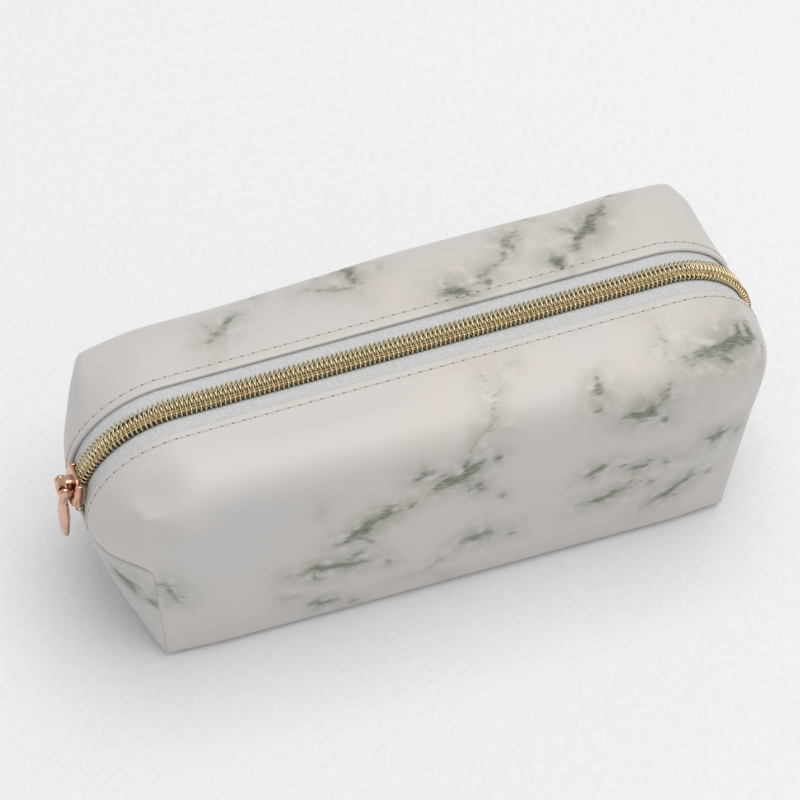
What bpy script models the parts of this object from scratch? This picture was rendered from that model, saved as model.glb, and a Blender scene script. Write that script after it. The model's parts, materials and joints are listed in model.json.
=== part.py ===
"""Boxy zip pouch of PU leather with a lining, a coil zip over the top and ends, and a slider with a pull.

Metres, +Z up. The origin is the centre of the flat bottom. +X runs along the zip, from the slider's end,
and the front wall faces -Y. Every soft panel lies on one skin: two walls, a flat bottom, two lower ends and
two upper halves beside the zip.
"""

import math

import bmesh
import bpy
from mathutils import Matrix, Vector

MM = 0.001

# Zip path: its tapes' top face, along the top, round both bends and down to the end seams.
ZIP_HEIGHT = 79.5 * MM
BEND_RADIUS = 29.0 * MM
STRAIGHT_HALF = 75.5 * MM
END_SEAM_HEIGHT = 47.0 * MM
BEND_HEIGHT = ZIP_HEIGHT - BEND_RADIUS
BEND_LENGTH = BEND_RADIUS * math.pi / 2
DROP_LENGTH = BEND_HEIGHT - END_SEAM_HEIGHT
PATH_HALF = STRAIGHT_HALF + BEND_LENGTH + DROP_LENGTH

# Skin: half width of the zip slot, corner seams and the fold between walls and upper halves.
# SPLAY is how much wider each side is at the +X ears than in the middle, and narrower at the -X ears.
# BACK_EXTRA is how much further out the back's fold and wall are than the front's.
SLOT_HALF = 8.25 * MM
EDGE_LIFT = 1.35 * MM
FOLD_HEIGHT = 64.0 * MM
EAR_HEIGHT = 75.5 * MM
EAR_HALF_LENGTH = 97.0 * MM
SEAM_HALF_LENGTH = 93.0 * MM
BOTTOM_HALF_LENGTH = 90.0 * MM
BOTTOM_HALF_WIDTH = 33.0 * MM
TOP_HALF_WIDTH = 34.0 * MM
CORNER_BOTTOM_HALF_WIDTH = 32.2 * MM
CORNER_TOP_HALF_WIDTH = 33.2 * MM
SPLAY = 2.3 * MM
BACK_EXTRA = 4.5 * MM
WALL_BULGE = 0.8 * MM
END_BULGE_AT_BOTTOM = 3.5 * MM
HEM_RADIUS = 4.0 * MM
EAR_PATH = STRAIGHT_HALF + 0.5 * BEND_LENGTH
# How far the surface of an upper half holds its direction as it leaves each of its edges
SLOT_PULL = 64.0 * MM
FOLD_PULL = 36.0 * MM
EAR_PULL = 16.0 * MM
CORNER_SEAM_PULL = 24.0 * MM

# Layers
PU_THICKNESS = 1.0 * MM
LINING_DEPTH = 1.5 * MM
LINING_THICKNESS = 0.4 * MM
GAP = 0.4 * MM

# Zip
TAPE_THICKNESS = 0.6 * MM
TAPE_INNER = 0.8 * MM
TAPE_OUTER = 10.4 * MM
COIL_OUTER = 3.45 * MM
COIL_HEIGHT = 2.3 * MM
COIL_SHOULDER = 0.6 * MM

# Upper halves that fold open: where they start and end along the zip, and how far they open.
FLAP_START = -68.5 * MM
FLAP_END = STRAIGHT_HALF

# Slider, placed round the left bend from the top of the bend
SLIDER_ANGLE = math.radians(78.0)
PLATE_HALF_LENGTH = 5.6 * MM
PLATE_HALF_WIDTH = 5.25 * MM
PLATE_THICKNESS = 0.9 * MM
PLATE_UNDER = -2.25 * MM
PLATE_OVER = 2.65 * MM
FLANGE_THICKNESS = 0.8 * MM
FLANGE_FOOT = 0.4 * MM
POST_WIDTH = 1.0 * MM
POST_START = 1.4 * MM
POST_LENGTH = 3.4 * MM
CROWN_FOOT = 3.95 * MM
CROWN_LENGTH = 7.2 * MM
CROWN_WIDTH = 3.0 * MM
CROWN_HEIGHT = 3.8 * MM
TUNNEL_LENGTH = 3.8 * MM
TUNNEL_HEIGHT = 2.75 * MM
SPRING_LENGTH = 3.0 * MM
SPRING_WIDTH = 1.4 * MM
SPRING_THICKNESS = 0.3 * MM

# Pull: it rests leaning out from plumb by PULL_LEAN, against the slider's lower edge.
PULL_LEAN = math.radians(2.0)
PIN_HEIGHT = 5.75 * MM
PIN_RADIUS = 0.6 * MM
PULL_EYE_HALF = 3.0 * MM
PULL_ARM_WIDTH = 1.0 * MM
PULL_ARM_THICKNESS = 1.3 * MM
PULL_ARM_LENGTH = 4.6 * MM
PULL_LENGTH = 21.5 * MM
PULL_WIDTH = 5.0 * MM
PULL_TIP_WIDTH = 3.4 * MM
PULL_THICKNESS = 2.0 * MM

# Bindings on the seam allowances inside
BINDING_WIDTH = 6.0 * MM
BINDING_THICKNESS = 1.2 * MM
CORNER_BINDING_WIDTH = 4.6 * MM
CORNER_BINDING_TOP = 60.0 * MM

COLORS = {
    "pu_leather": ((0.80, 0.78, 0.75), 0.42, 0.0),
    "lining": ((0.70, 0.70, 0.69), 0.80, 0.0),
    "binding": ((0.62, 0.62, 0.61), 0.85, 0.0),
    "tape": ((0.72, 0.74, 0.75), 0.85, 0.0),
    "coil": ((0.83, 0.66, 0.30), 0.30, 1.0),
    "slider": ((0.80, 0.52, 0.40), 0.22, 1.0),
}


# ---------------------------------------------------------------- scene helpers

def clear_scene():
    for obj in list(bpy.data.objects):
        bpy.data.objects.remove(obj, do_unlink=True)


def new_collection(name):
    collection = bpy.data.collections.new(name)
    bpy.context.scene.collection.children.link(collection)
    return collection


def make_materials():
    materials = {}
    for name, (color, roughness, metallic) in COLORS.items():
        material = bpy.data.materials.new(name)
        material.use_nodes = True
        shader = material.node_tree.nodes["Principled BSDF"]
        shader.inputs["Base Color"].default_value = (*color, 1.0)
        shader.inputs["Roughness"].default_value = roughness
        shader.inputs["Metallic"].default_value = metallic
        materials[name] = material
    return materials


def make_object(name, bm, collection, material, parent=None):
    """Turn a bmesh in world metres into an object whose origin is at its parent empty."""
    mesh = bpy.data.meshes.new(name)
    bm.to_mesh(mesh)
    bm.free()
    mesh.materials.append(material)
    obj = bpy.data.objects.new(name, mesh)
    collection.objects.link(obj)
    if parent is not None:
        obj.parent = parent
    return obj


def make_axis(name, collection, location, rotation=(0.0, 0.0, 0.0)):
    empty = bpy.data.objects.new(name, None)
    empty.location = location
    empty.rotation_euler = rotation
    empty.empty_display_size = 10.0 * MM
    collection.objects.link(empty)
    return empty


def move_to_axis(bm, axis_location):
    bmesh.ops.translate(bm, verts=bm.verts, vec=-Vector(axis_location))


# ---------------------------------------------------------------- curves of the skin

def smooth(t):
    t = min(max(t, 0.0), 1.0)
    return t * t * (3.0 - 2.0 * t)


def mix(a, b, t):
    return a + (b - a) * t


def hermite(start, start_pull, end, end_pull, t):
    t2 = t * t
    t3 = t2 * t
    return (
        start * (2 * t3 - 3 * t2 + 1)
        + start_pull * (t3 - 2 * t2 + t)
        + end * (3 * t2 - 2 * t3)
        + end_pull * (t3 - t2)
    )


def zip_frame(s):
    """Point and outward normal in the XZ plane at path length s from the middle of the top."""
    side = -1.0 if s < 0 else 1.0
    run = abs(s)
    if run <= STRAIGHT_HALF:
        return Vector((s, 0, ZIP_HEIGHT)), Vector((0, 0, 1))
    run -= STRAIGHT_HALF
    if run <= BEND_LENGTH:
        angle = run / BEND_RADIUS
        normal = Vector((side * math.sin(angle), 0, math.cos(angle)))
        return Vector((side * STRAIGHT_HALF, 0, BEND_HEIGHT)) + normal * BEND_RADIUS, normal
    run -= BEND_LENGTH
    return Vector((side * (STRAIGHT_HALF + BEND_RADIUS), 0, BEND_HEIGHT - run)), Vector((side, 0, 0))


def corner_blend(x):
    """0 along the straight middle, 1 at the corner seams."""
    return smooth((abs(x) - STRAIGHT_HALF) / (EAR_HALF_LENGTH - STRAIGHT_HALF))


def corner_half_length(z):
    if z < END_SEAM_HEIGHT:
        return mix(BOTTOM_HALF_LENGTH, SEAM_HALF_LENGTH, z / END_SEAM_HEIGHT)
    return mix(SEAM_HALF_LENGTH, EAR_HALF_LENGTH, (z - END_SEAM_HEIGHT) / (EAR_HEIGHT - END_SEAM_HEIGHT))


def corner_half_width(z):
    return mix(CORNER_BOTTOM_HALF_WIDTH, CORNER_TOP_HALF_WIDTH, z / EAR_HEIGHT)


def fold_point(x):
    """The fold between the front wall and its upper half, rising to the ear at each corner."""
    blend = corner_blend(x)
    y = mix(TOP_HALF_WIDTH, CORNER_TOP_HALF_WIDTH, blend)
    return Vector((x, -y, mix(FOLD_HEIGHT, EAR_HEIGHT, blend)))


def outer_edge(s):
    """Outer edge of the upper half and the pull of its surface there."""
    side = -1.0 if s < 0 else 1.0
    run = abs(s)
    down = Vector((0, 0, -1))
    into_seam = Vector((-0.45 * side, -0.89, 0))
    if run <= EAR_PATH:
        t = (run - STRAIGHT_HALF) / (EAR_PATH - STRAIGHT_HALF)
        x = side * mix(STRAIGHT_HALF, EAR_HALF_LENGTH, t) if t > 0 else s
        turn = 0.5 * smooth(t)
        pull = mix(FOLD_PULL, EAR_PULL, smooth(t))
        return fold_point(x), (down * (1 - turn) + into_seam * turn) * pull
    t = (run - EAR_PATH) / (PATH_HALF - EAR_PATH)
    z = mix(EAR_HEIGHT, END_SEAM_HEIGHT, t)
    turn = 0.5 + 0.5 * smooth(t * 3)
    point = Vector((side * corner_half_length(z), -corner_half_width(z), z))
    pull = mix(EAR_PULL, CORNER_SEAM_PULL, smooth(t * 2))
    return point, (down * (1 - turn) + into_seam * turn) * pull


def upper_point(s, b):
    """Front upper half: from the folded edge beside the zip (b = 0) to the fold or corner seam (b = 1)."""
    base, normal = zip_frame(s)
    start = base + normal * EDGE_LIFT + Vector((0, -SLOT_HALF, 0))
    start_pull = (Vector((0, -1, 0)) - normal * 0.03) * mix(SLOT_PULL, 46 * MM, corner_blend(s))
    end, end_pull = outer_edge(s)
    return hermite(start, start_pull, end, end_pull, b)


def wall_point(u, v):
    """Front wall: from the bottom's edge (v = 0) round the hem and up to the fold (v = 1)."""
    top = fold_point(u * EAR_HALF_LENGTH)
    hem_share = 0.18
    if v < hem_share:
        angle = v / hem_share * math.pi / 2
        z = HEM_RADIUS * (1 - math.cos(angle))
        inset = HEM_RADIUS * (1 - math.sin(angle))
    else:
        z = mix(HEM_RADIUS, top.z, (v - hem_share) / (1 - hem_share))
        inset = 0.0
    x = u * (corner_half_length(z) - inset)
    rise = z / FOLD_HEIGHT
    middle = mix(BOTTOM_HALF_WIDTH, TOP_HALF_WIDTH, min(rise, 1.0))
    middle += WALL_BULGE * math.sin(math.pi * min(rise, 1.0))
    y = mix(middle, corner_half_width(z), corner_blend(u * EAR_HALF_LENGTH))
    return Vector((x, -(y - inset), z))


def end_seam_point(y):
    """The end seam of the +X end, bulging past the corner seams."""
    half = corner_half_width(END_SEAM_HEIGHT)
    if abs(y) <= SLOT_HALF:
        point = upper_point(PATH_HALF, 0.0)
        return Vector((point.x, y, END_SEAM_HEIGHT))
    target = (abs(y) - SLOT_HALF) / (half - SLOT_HALF)
    low, high = 0.0, 1.0
    for _ in range(24):
        middle = 0.5 * (low + high)
        reached = (-upper_point(PATH_HALF, middle).y - SLOT_HALF) / (half - SLOT_HALF)
        low, high = (middle, high) if reached < target else (low, middle)
    return Vector((upper_point(PATH_HALF, low).x, y, END_SEAM_HEIGHT))


def end_bottom_half_length(w):
    """Half length at the floor, w of the way from the middle (0) to a corner seam (1 or -1)."""
    return BOTTOM_HALF_LENGTH + END_BULGE_AT_BOTTOM * (1 - w * w)


def lower_end_point(w, v):
    """Lower half of the +X end: from the bottom's edge (v = 0) up to the end seam (v = 1)."""
    hem_share = 0.22
    if v < hem_share:
        angle = v / hem_share * math.pi / 2
        z = HEM_RADIUS * (1 - math.cos(angle))
        inset = HEM_RADIUS * (1 - math.sin(angle))
    else:
        z = mix(HEM_RADIUS, END_SEAM_HEIGHT, (v - hem_share) / (1 - hem_share))
        inset = 0.0
    seam_x = end_seam_point(w * corner_half_width(END_SEAM_HEIGHT)).x
    bottom_x = end_bottom_half_length(w)
    rise = z / END_SEAM_HEIGHT
    x = mix(bottom_x, seam_x, rise) + 1.2 * MM * math.sin(math.pi * rise)
    return Vector((x - inset, w * (corner_half_width(z) - inset), z))


# ---------------------------------------------------------------- shells and strips

def steps(start, end, count):
    return [mix(start, end, i / count) for i in range(count + 1)]


def grid_bmesh(point, us, vs):
    bm = bmesh.new()
    rows = [[bm.verts.new(point(u, v)) for v in vs] for u in us]
    for i in range(len(us) - 1):
        for j in range(len(vs) - 1):
            bm.faces.new((rows[i][j], rows[i + 1][j], rows[i + 1][j + 1], rows[i][j + 1]))
    bm.normal_update()
    centre = Vector((0, 0, 0.5 * ZIP_HEIGHT))
    facing = sum(f.normal.dot(f.calc_center_median() - centre) * f.calc_area() for f in bm.faces)
    if facing < 0:
        bmesh.ops.reverse_faces(bm, faces=bm.faces)
        bm.normal_update()
    return bm


def move_inward(bm, depth):
    shifts = [(vert, vert.normal * -depth) for vert in bm.verts]
    for vert, shift in shifts:
        vert.co += shift


def add_shell(name, bm, collection, material, thickness, depth=0.0, parent=None):
    if depth:
        move_inward(bm, depth)
    if parent is not None:
        move_to_axis(bm, parent.location)
    obj = make_object(name, bm, collection, material, parent)
    solidify = obj.modifiers.new("thickness", "SOLIDIFY")
    solidify.thickness = thickness
    solidify.offset = -1.0
    solidify.use_even_offset = True
    return obj


def add_strip(name, section, path, collection, material, parent=None):
    """Sweep a closed section, given as (y, height over the tape), along the zip path."""
    bm = bmesh.new()
    rings = []
    for s in path:
        base, normal = zip_frame(s)
        rings.append([bm.verts.new(base + normal * height + Vector((0, y, 0))) for y, height in section])
    count = len(section)
    for ring, following in zip(rings, rings[1:]):
        for i in range(count):
            j = (i + 1) % count
            bm.faces.new((ring[i], ring[j], following[j], following[i]))
    bm.faces.new(list(reversed(rings[0])))
    bm.faces.new(rings[-1])
    bmesh.ops.recalc_face_normals(bm, faces=bm.faces)
    if parent is not None:
        move_to_axis(bm, parent.location)
    return make_object(name, bm, collection, material, parent)


def splayed(x, y):
    """Widen the pouch towards +X and at its back, from nothing at the zip's edges to all at the folds."""
    share = min(max(abs(y) - SLOT_HALF, 0.0) / (TOP_HALF_WIDTH - SLOT_HALF), 1.0)
    extra = math.copysign(SPLAY * abs(x) / EAR_HALF_LENGTH, x)
    if y > 0:
        return y + share * (BACK_EXTRA + extra)
    return y - share * extra


def placed(point, mirror_x=1.0, mirror_y=1.0):
    def place(a, b):
        p = point(a, b)
        x = p.x * mirror_x
        return Vector((x, splayed(x, p.y * mirror_y), p.z))
    return place


# ---------------------------------------------------------------- soft panels

def end_path(side, gap):
    """Path lengths along one end's part of the zip, from the flap to the end seam."""
    start = FLAP_END + gap if side > 0 else -FLAP_START + gap
    bend = steps(STRAIGHT_HALF, STRAIGHT_HALF + BEND_LENGTH, 9)
    inner = [s for s in bend if s > start + MM]
    return [start, *inner, PATH_HALF - 0.5 * gap]


def add_walls(collection, materials):
    pu, lining = materials["pu_leather"], materials["lining"]
    for side, name in ((1.0, "front"), (-1.0, "back")):
        point = placed(wall_point, mirror_y=side)
        heights = [0.0, 0.06, 0.12, 0.18, 0.38, 0.6, 0.8, 0.99]
        straight = STRAIGHT_HALF / EAR_HALF_LENGTH
        towards_ear = steps(straight, 0.975, 5)
        lengths = [-u for u in reversed(towards_ear)] + steps(-straight, straight, 8)[1:-1] + towards_ear
        add_shell(f"{name}_wall", grid_bmesh(point, lengths, heights), collection, pu, PU_THICKNESS)
        inner = [0.95 * u for u in lengths]
        inner_heights = [0.2, 0.38, 0.6, 0.8, 0.97]
        bm = grid_bmesh(point, inner, inner_heights)
        add_shell(f"lining_{name}", bm, collection, lining, LINING_THICKNESS, LINING_DEPTH)


def add_lower_ends(collection, materials):
    pu, lining = materials["pu_leather"], materials["lining"]
    for side, name in ((-1.0, "left"), (1.0, "right")):
        point = placed(lower_end_point, mirror_x=side)
        heights = [0.0, 0.08, 0.15, 0.22, 0.45, 0.7, 0.99]
        widths = [0.945 * w for w in steps(-1.0, 1.0, 10)]
        add_shell(f"{name}_lower_end", grid_bmesh(point, widths, heights), collection, pu, PU_THICKNESS)
        widths = [0.82 * w for w in steps(-1.0, 1.0, 8)]
        bm = grid_bmesh(point, widths, [0.3, 0.5, 0.7, 0.93])
        add_shell(f"lining_{name}_lower", bm, collection, lining, LINING_THICKNESS, LINING_DEPTH)


def add_upper_ends(collection, materials):
    pu, lining = materials["pu_leather"], materials["lining"]
    across = [0.0, 0.12, 0.3, 0.5, 0.7, 0.85, 0.93]
    lining_across = [0.1, 0.3, 0.5, 0.7, 0.84]
    for end, end_name in ((-1.0, "left"), (1.0, "right")):
        path = [end * s for s in end_path(end, GAP)]
        lining_path = [end * s for s in end_path(end, GAP)[:-1]]
        lining_path.append(end * (PATH_HALF - 1.4 * MM))
        for side, name in ((1.0, "front"), (-1.0, "back")):
            point = placed(upper_point, mirror_y=side)
            full_name = f"{end_name}_upper_{name}"
            bm = grid_bmesh(point, path, across)
            add_shell(full_name, bm, collection, pu, PU_THICKNESS)
            bm = grid_bmesh(point, lining_path, lining_across)
            add_shell(f"lining_{full_name}", bm, collection, lining, LINING_THICKNESS, LINING_DEPTH)


def bottom_outline(inset):
    """Corner to corner round the flat bottom, inside the hems."""
    half_width = CORNER_BOTTOM_HALF_WIDTH - HEM_RADIUS
    points = []
    for side in (1.0, -1.0):
        for w in steps(-side, side, 8):
            x = end_bottom_half_length(w) - HEM_RADIUS - inset
            points.append((side * x, splayed(side * x, w * (half_width - inset))))
    return points


def add_plate(name, outline, low, thickness, collection, material):
    bm = bmesh.new()
    face = bm.faces.new([bm.verts.new((x, y, low)) for x, y in outline])
    grown = bmesh.ops.extrude_face_region(bm, geom=[face])
    verts = [item for item in grown["geom"] if isinstance(item, bmesh.types.BMVert)]
    bmesh.ops.translate(bm, verts=verts, vec=(0, 0, thickness))
    bmesh.ops.recalc_face_normals(bm, faces=bm.faces)
    return make_object(name, bm, collection, material)


def add_bottom(collection, materials):
    add_plate("bottom_panel", bottom_outline(3 * GAP), 0.0, PU_THICKNESS, collection, materials["pu_leather"])
    outline = bottom_outline(6 * GAP)
    add_plate("lining_bottom", outline, LINING_DEPTH, LINING_THICKNESS, collection, materials["lining"])


# ---------------------------------------------------------------- bindings inside

def add_end_bindings(collection, material):
    low = END_SEAM_HEIGHT - 0.5 * BINDING_THICKNESS
    start = PU_THICKNESS + LINING_DEPTH + GAP
    for side, name in ((-1.0, "left"), (1.0, "right")):
        outer = []
        inner = []
        for y in steps(-25 * MM, 25 * MM, 8):
            x = end_seam_point(y).x - start
            outer.append((side * x, y))
            inner.append((side * (x - BINDING_WIDTH), y))
        outline = outer + list(reversed(inner))
        add_plate(f"end_binding_{name}", outline, low, BINDING_THICKNESS, collection, material)


def add_corner_bindings(collection, material):
    """A strip down each corner seam, standing diagonally into the pouch."""
    heights = [7 * MM, CORNER_BINDING_TOP]
    diagonal = Vector((1, -1, 0)).normalized()
    across = Vector((1, 1, 0)).normalized() * 0.5 * BINDING_THICKNESS
    for x_side, x_name in ((-1.0, "left"), (1.0, "right")):
        for y_side, y_name in ((1.0, "front"), (-1.0, "back")):
            bm = bmesh.new()
            for z in heights:
                corner = Vector((corner_half_length(z), -corner_half_width(z), z))
                outer = corner - diagonal * 3.2 * MM
                inner = outer - diagonal * CORNER_BINDING_WIDTH
                ring = (outer + across, outer - across, inner - across, inner + across)
                for p in ring:
                    x = p.x * x_side
                    bm.verts.new((x, splayed(x, p.y * y_side), p.z))
            bmesh.ops.convex_hull(bm, input=bm.verts)
            bmesh.ops.recalc_face_normals(bm, faces=bm.faces)
            make_object(f"corner_binding_{x_name}_{y_name}", bm, collection, material)


# ---------------------------------------------------------------- zip and flaps

def tape_section(side):
    return [
        (side * TAPE_INNER, -TAPE_THICKNESS),
        (side * TAPE_OUTER, -TAPE_THICKNESS),
        (side * TAPE_OUTER, 0.0),
        (side * TAPE_INNER, 0.0),
    ]


def coil_section(side):
    foot = 0.3 * MM
    top = COIL_HEIGHT
    return [
        (side * TAPE_INNER, foot),
        (side * COIL_OUTER, foot),
        (side * COIL_OUTER, top - COIL_SHOULDER),
        (side * (COIL_OUTER - COIL_SHOULDER), top),
        (side * (TAPE_INNER + 0.5 * COIL_SHOULDER), top),
        (side * TAPE_INNER, top - 0.5 * COIL_SHOULDER),
    ]


def add_zip_ends(collection, materials):
    for end, end_name in ((-1.0, "left"), (1.0, "right")):
        path = [end * s for s in end_path(end, GAP)]
        for side, name in ((-1.0, "front"), (1.0, "back")):
            tape_name = f"tape_{end_name}_{name}"
            add_strip(tape_name, tape_section(side), path, collection, materials["tape"])
            coil_name = f"coil_{end_name}_{name}"
            add_strip(coil_name, coil_section(side), path, collection, materials["coil"])


def add_flap(name, side, collection, materials):
    """Upper half over the straight part of the zip, hinged along its fold; side is +1 for the front."""
    axis = make_axis(f"flap_{name}_axis", collection, (0, splayed(0, -side * TOP_HALF_WIDTH), FOLD_HEIGHT))
    point = placed(upper_point, mirror_y=side)
    lengths = [FLAP_START, FLAP_END]
    across = [*steps(0.0, 1.0, 9)[:-1], 1.0 - 0.012]
    bm = grid_bmesh(point, lengths, across)
    add_shell(f"flap_{name}", bm, collection, materials["pu_leather"], PU_THICKNESS, parent=axis)
    bm = grid_bmesh(point, lengths, [0.1, 0.2, 0.35, 0.5, 0.65, 0.8, 0.93])
    material = materials["lining"]
    add_shell(f"lining_flap_{name}", bm, collection, material, LINING_THICKNESS, LINING_DEPTH, axis)
    add_strip(f"tape_{name}", tape_section(-side), lengths, collection, materials["tape"], axis)
    add_strip(f"coil_{name}", coil_section(-side), lengths, collection, materials["coil"], axis)


# ---------------------------------------------------------------- slider and pull

def box_bmesh(size, centre):
    bm = bmesh.new()
    bmesh.ops.create_cube(bm, size=1.0)
    bmesh.ops.scale(bm, verts=bm.verts, vec=size)
    bmesh.ops.translate(bm, verts=bm.verts, vec=centre)
    return bm


def plate_outline():
    """Half shield of a slider plate: square shoulders at -X, drawn in towards the tail at +X."""
    length, width = PLATE_HALF_LENGTH, PLATE_HALF_WIDTH
    half = [(-length, 0.55 * width), (-0.8 * length, 0.92 * width), (-0.35 * length, width)]
    half += [(0.35 * length, 0.97 * width), (0.85 * length, 0.9 * width), (length, 0.72 * width)]
    return half + [(x, -y) for x, y in reversed(half)]


def plate_bmesh(low, thickness):
    bm = bmesh.new()
    face = bm.faces.new([bm.verts.new((x, y, low)) for x, y in plate_outline()])
    grown = bmesh.ops.extrude_face_region(bm, geom=[face])
    verts = [item for item in grown["geom"] if isinstance(item, bmesh.types.BMVert)]
    bmesh.ops.translate(bm, verts=verts, vec=(0, 0, thickness))
    bmesh.ops.recalc_face_normals(bm, faces=bm.faces)
    return bm


def add_cutter(name, bm, cutters, material, parent):
    cutter = make_object(name, bm, cutters, material, parent)
    cutter.hide_render = True
    cutter.display_type = "WIRE"
    return cutter


def add_boolean(obj, cutter, operation):
    modifier = obj.modifiers.new(cutter.name, "BOOLEAN")
    modifier.operation = operation
    modifier.object = cutter


def add_slider(collection, cutters, materials):
    """Plates, flanges and post, with the crown and its spring, on the axis of the left bend."""
    material = materials["slider"]
    axis = make_axis(
        "slider_axis", collection, (-STRAIGHT_HALF, 0, BEND_HEIGHT), (0, -SLIDER_ANGLE, 0)
    )
    base = BEND_RADIUS
    over = plate_bmesh(base + PLATE_OVER, PLATE_THICKNESS)
    body = make_object("slider_body", over, collection, material, axis)
    under = plate_bmesh(base + PLATE_UNDER, PLATE_THICKNESS)
    joined = [add_cutter("slider_under_plate", under, cutters, material, axis)]
    overlap = 0.2 * MM
    post_low = base + PLATE_UNDER + PLATE_THICKNESS - overlap
    post_high = base + PLATE_OVER + overlap
    post_size = (POST_LENGTH, POST_WIDTH, post_high - post_low)
    post_centre = (-POST_START - 0.5 * POST_LENGTH, 0, 0.5 * (post_low + post_high))
    joined.append(add_cutter("slider_post", box_bmesh(post_size, post_centre), cutters, material, axis))
    flange_height = PLATE_OVER + overlap - FLANGE_FOOT
    flange_size = (1.2 * PLATE_HALF_LENGTH, FLANGE_THICKNESS, flange_height)
    for side, name in ((-1.0, "front"), (1.0, "back")):
        y = side * (PLATE_HALF_WIDTH - 0.6 * FLANGE_THICKNESS)
        centre = (0, y, base + FLANGE_FOOT + 0.5 * flange_height)
        bm = box_bmesh(flange_size, centre)
        joined.append(add_cutter(f"slider_flange_{name}", bm, cutters, material, axis))
    for cutter in joined:
        add_boolean(body, cutter, "UNION")

    crown_size = (CROWN_LENGTH, CROWN_WIDTH, CROWN_HEIGHT)
    crown_bm = box_bmesh(crown_size, (0, 0, base + CROWN_FOOT + 0.5 * CROWN_HEIGHT))
    top_edges = [e for e in crown_bm.edges if min(v.co.z for v in e.verts) > base + CROWN_FOOT + MM]
    bmesh.ops.bevel(crown_bm, geom=top_edges, offset=1.1 * MM, segments=3, profile=0.5, affect="EDGES")
    crown = make_object("slider_crown", crown_bm, collection, material, axis)
    tunnel_size = (TUNNEL_LENGTH, 2 * CROWN_WIDTH, 2 * TUNNEL_HEIGHT)
    tunnel = add_cutter(
        "crown_tunnel", box_bmesh(tunnel_size, (0, 0, base + CROWN_FOOT)), cutters, material, axis
    )
    add_boolean(crown, tunnel, "DIFFERENCE")

    spring_size = (SPRING_LENGTH, SPRING_WIDTH, SPRING_THICKNESS)
    spring = box_bmesh(spring_size, (0, 0, base + CROWN_FOOT + 0.5 * SPRING_THICKNESS))
    make_object("slider_lock_spring", spring, collection, material, axis)
    return axis


def pull_tab_bmesh():
    """Long faceted lozenge bar with a ridge down its outer face, hanging from z = 0 at its eye's end."""
    bm = bmesh.new()
    top = -PULL_ARM_LENGTH + 0.6 * MM
    stations = [
        (top, 0.92 * PULL_WIDTH, 0.8),
        (mix(top, -PULL_LENGTH, 0.42), PULL_WIDTH, 1.0),
        (-PULL_LENGTH, PULL_TIP_WIDTH, 0.7),
    ]
    rings = []
    for z, width, fullness in stations:
        depth = 0.5 * PULL_THICKNESS * fullness
        points = [(depth, -0.42 * width), (depth, 0.42 * width), (0, 0.5 * width)]
        points += [(-0.4 * depth, 0.5 * width), (-1.2 * depth, 0), (-0.4 * depth, -0.5 * width), (0, -0.5 * width)]
        rings.append([bm.verts.new((x, y, z)) for x, y in points])
    count = len(rings[0])
    for ring, following in zip(rings, rings[1:]):
        for i in range(count):
            j = (i + 1) % count
            bm.faces.new((ring[i], ring[j], following[j], following[i]))
    bm.faces.new(rings[0])
    bm.faces.new(rings[-1])
    bmesh.ops.recalc_face_normals(bm, faces=bm.faces)
    return bm


def add_pull(collection, cutters, materials, slider_axis):
    """Eye of a pin and two arms round the crown, and the tab hanging from it."""
    material = materials["slider"]
    location = Vector((0, 0, BEND_RADIUS + PIN_HEIGHT))
    axis = make_axis("pull_axis", collection, location, (0, SLIDER_ANGLE + PULL_LEAN, 0))
    axis.parent = slider_axis
    pull = make_object("pull", pull_tab_bmesh(), collection, material, axis)
    pin = bmesh.new()
    bmesh.ops.create_cone(
        pin, cap_ends=True, segments=16, radius1=PIN_RADIUS, radius2=PIN_RADIUS, depth=2 * PULL_EYE_HALF
    )
    bmesh.ops.rotate(pin, verts=pin.verts, matrix=Matrix.Rotation(math.pi / 2, 3, "X"))
    joined = [add_cutter("pull_pin", pin, cutters, material, axis)]
    arm_size = (PULL_ARM_THICKNESS, PULL_ARM_WIDTH, PULL_ARM_LENGTH + PIN_RADIUS)
    for side, name in ((-1.0, "front"), (1.0, "back")):
        y = side * (PULL_EYE_HALF - 0.5 * PULL_ARM_WIDTH - 0.05 * MM)
        centre = (0, y, 0.5 * (PIN_RADIUS - PULL_ARM_LENGTH) + 0.1 * MM)
        joined.append(add_cutter(f"pull_arm_{name}", box_bmesh(arm_size, centre), cutters, material, axis))
    for cutter in joined:
        add_boolean(pull, cutter, "UNION")
    return pull


# ---------------------------------------------------------------- assembly

def main():
    clear_scene()
    collection = new_collection("zip_pouch")
    cutters = new_collection("cutters")
    materials = make_materials()
    add_walls(collection, materials)
    add_lower_ends(collection, materials)
    add_upper_ends(collection, materials)
    add_bottom(collection, materials)
    add_end_bindings(collection, materials["binding"])
    add_corner_bindings(collection, materials["binding"])
    add_zip_ends(collection, materials)
    add_flap("front", 1.0, collection, materials)
    add_flap("back", -1.0, collection, materials)
    slider_axis = add_slider(collection, cutters, materials)
    add_pull(collection, cutters, materials, slider_axis)


main()
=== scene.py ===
"""Looks of the marble print zip pouch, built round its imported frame.

Metres, in the frame's own axes: +X runs along the zip, away from the slider's end, the front wall faces
-Y, and the pouch stands on z = 0. The outer skin is rebuilt finely from the same few driving dimensions as
the frame: one continuous front sheet and one back sheet that bend at the top folds, two lower ends and a
bottom.
"""

import json
import math

import bmesh
import bpy
import numpy as np
from mathutils import Matrix, Vector, noise


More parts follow.
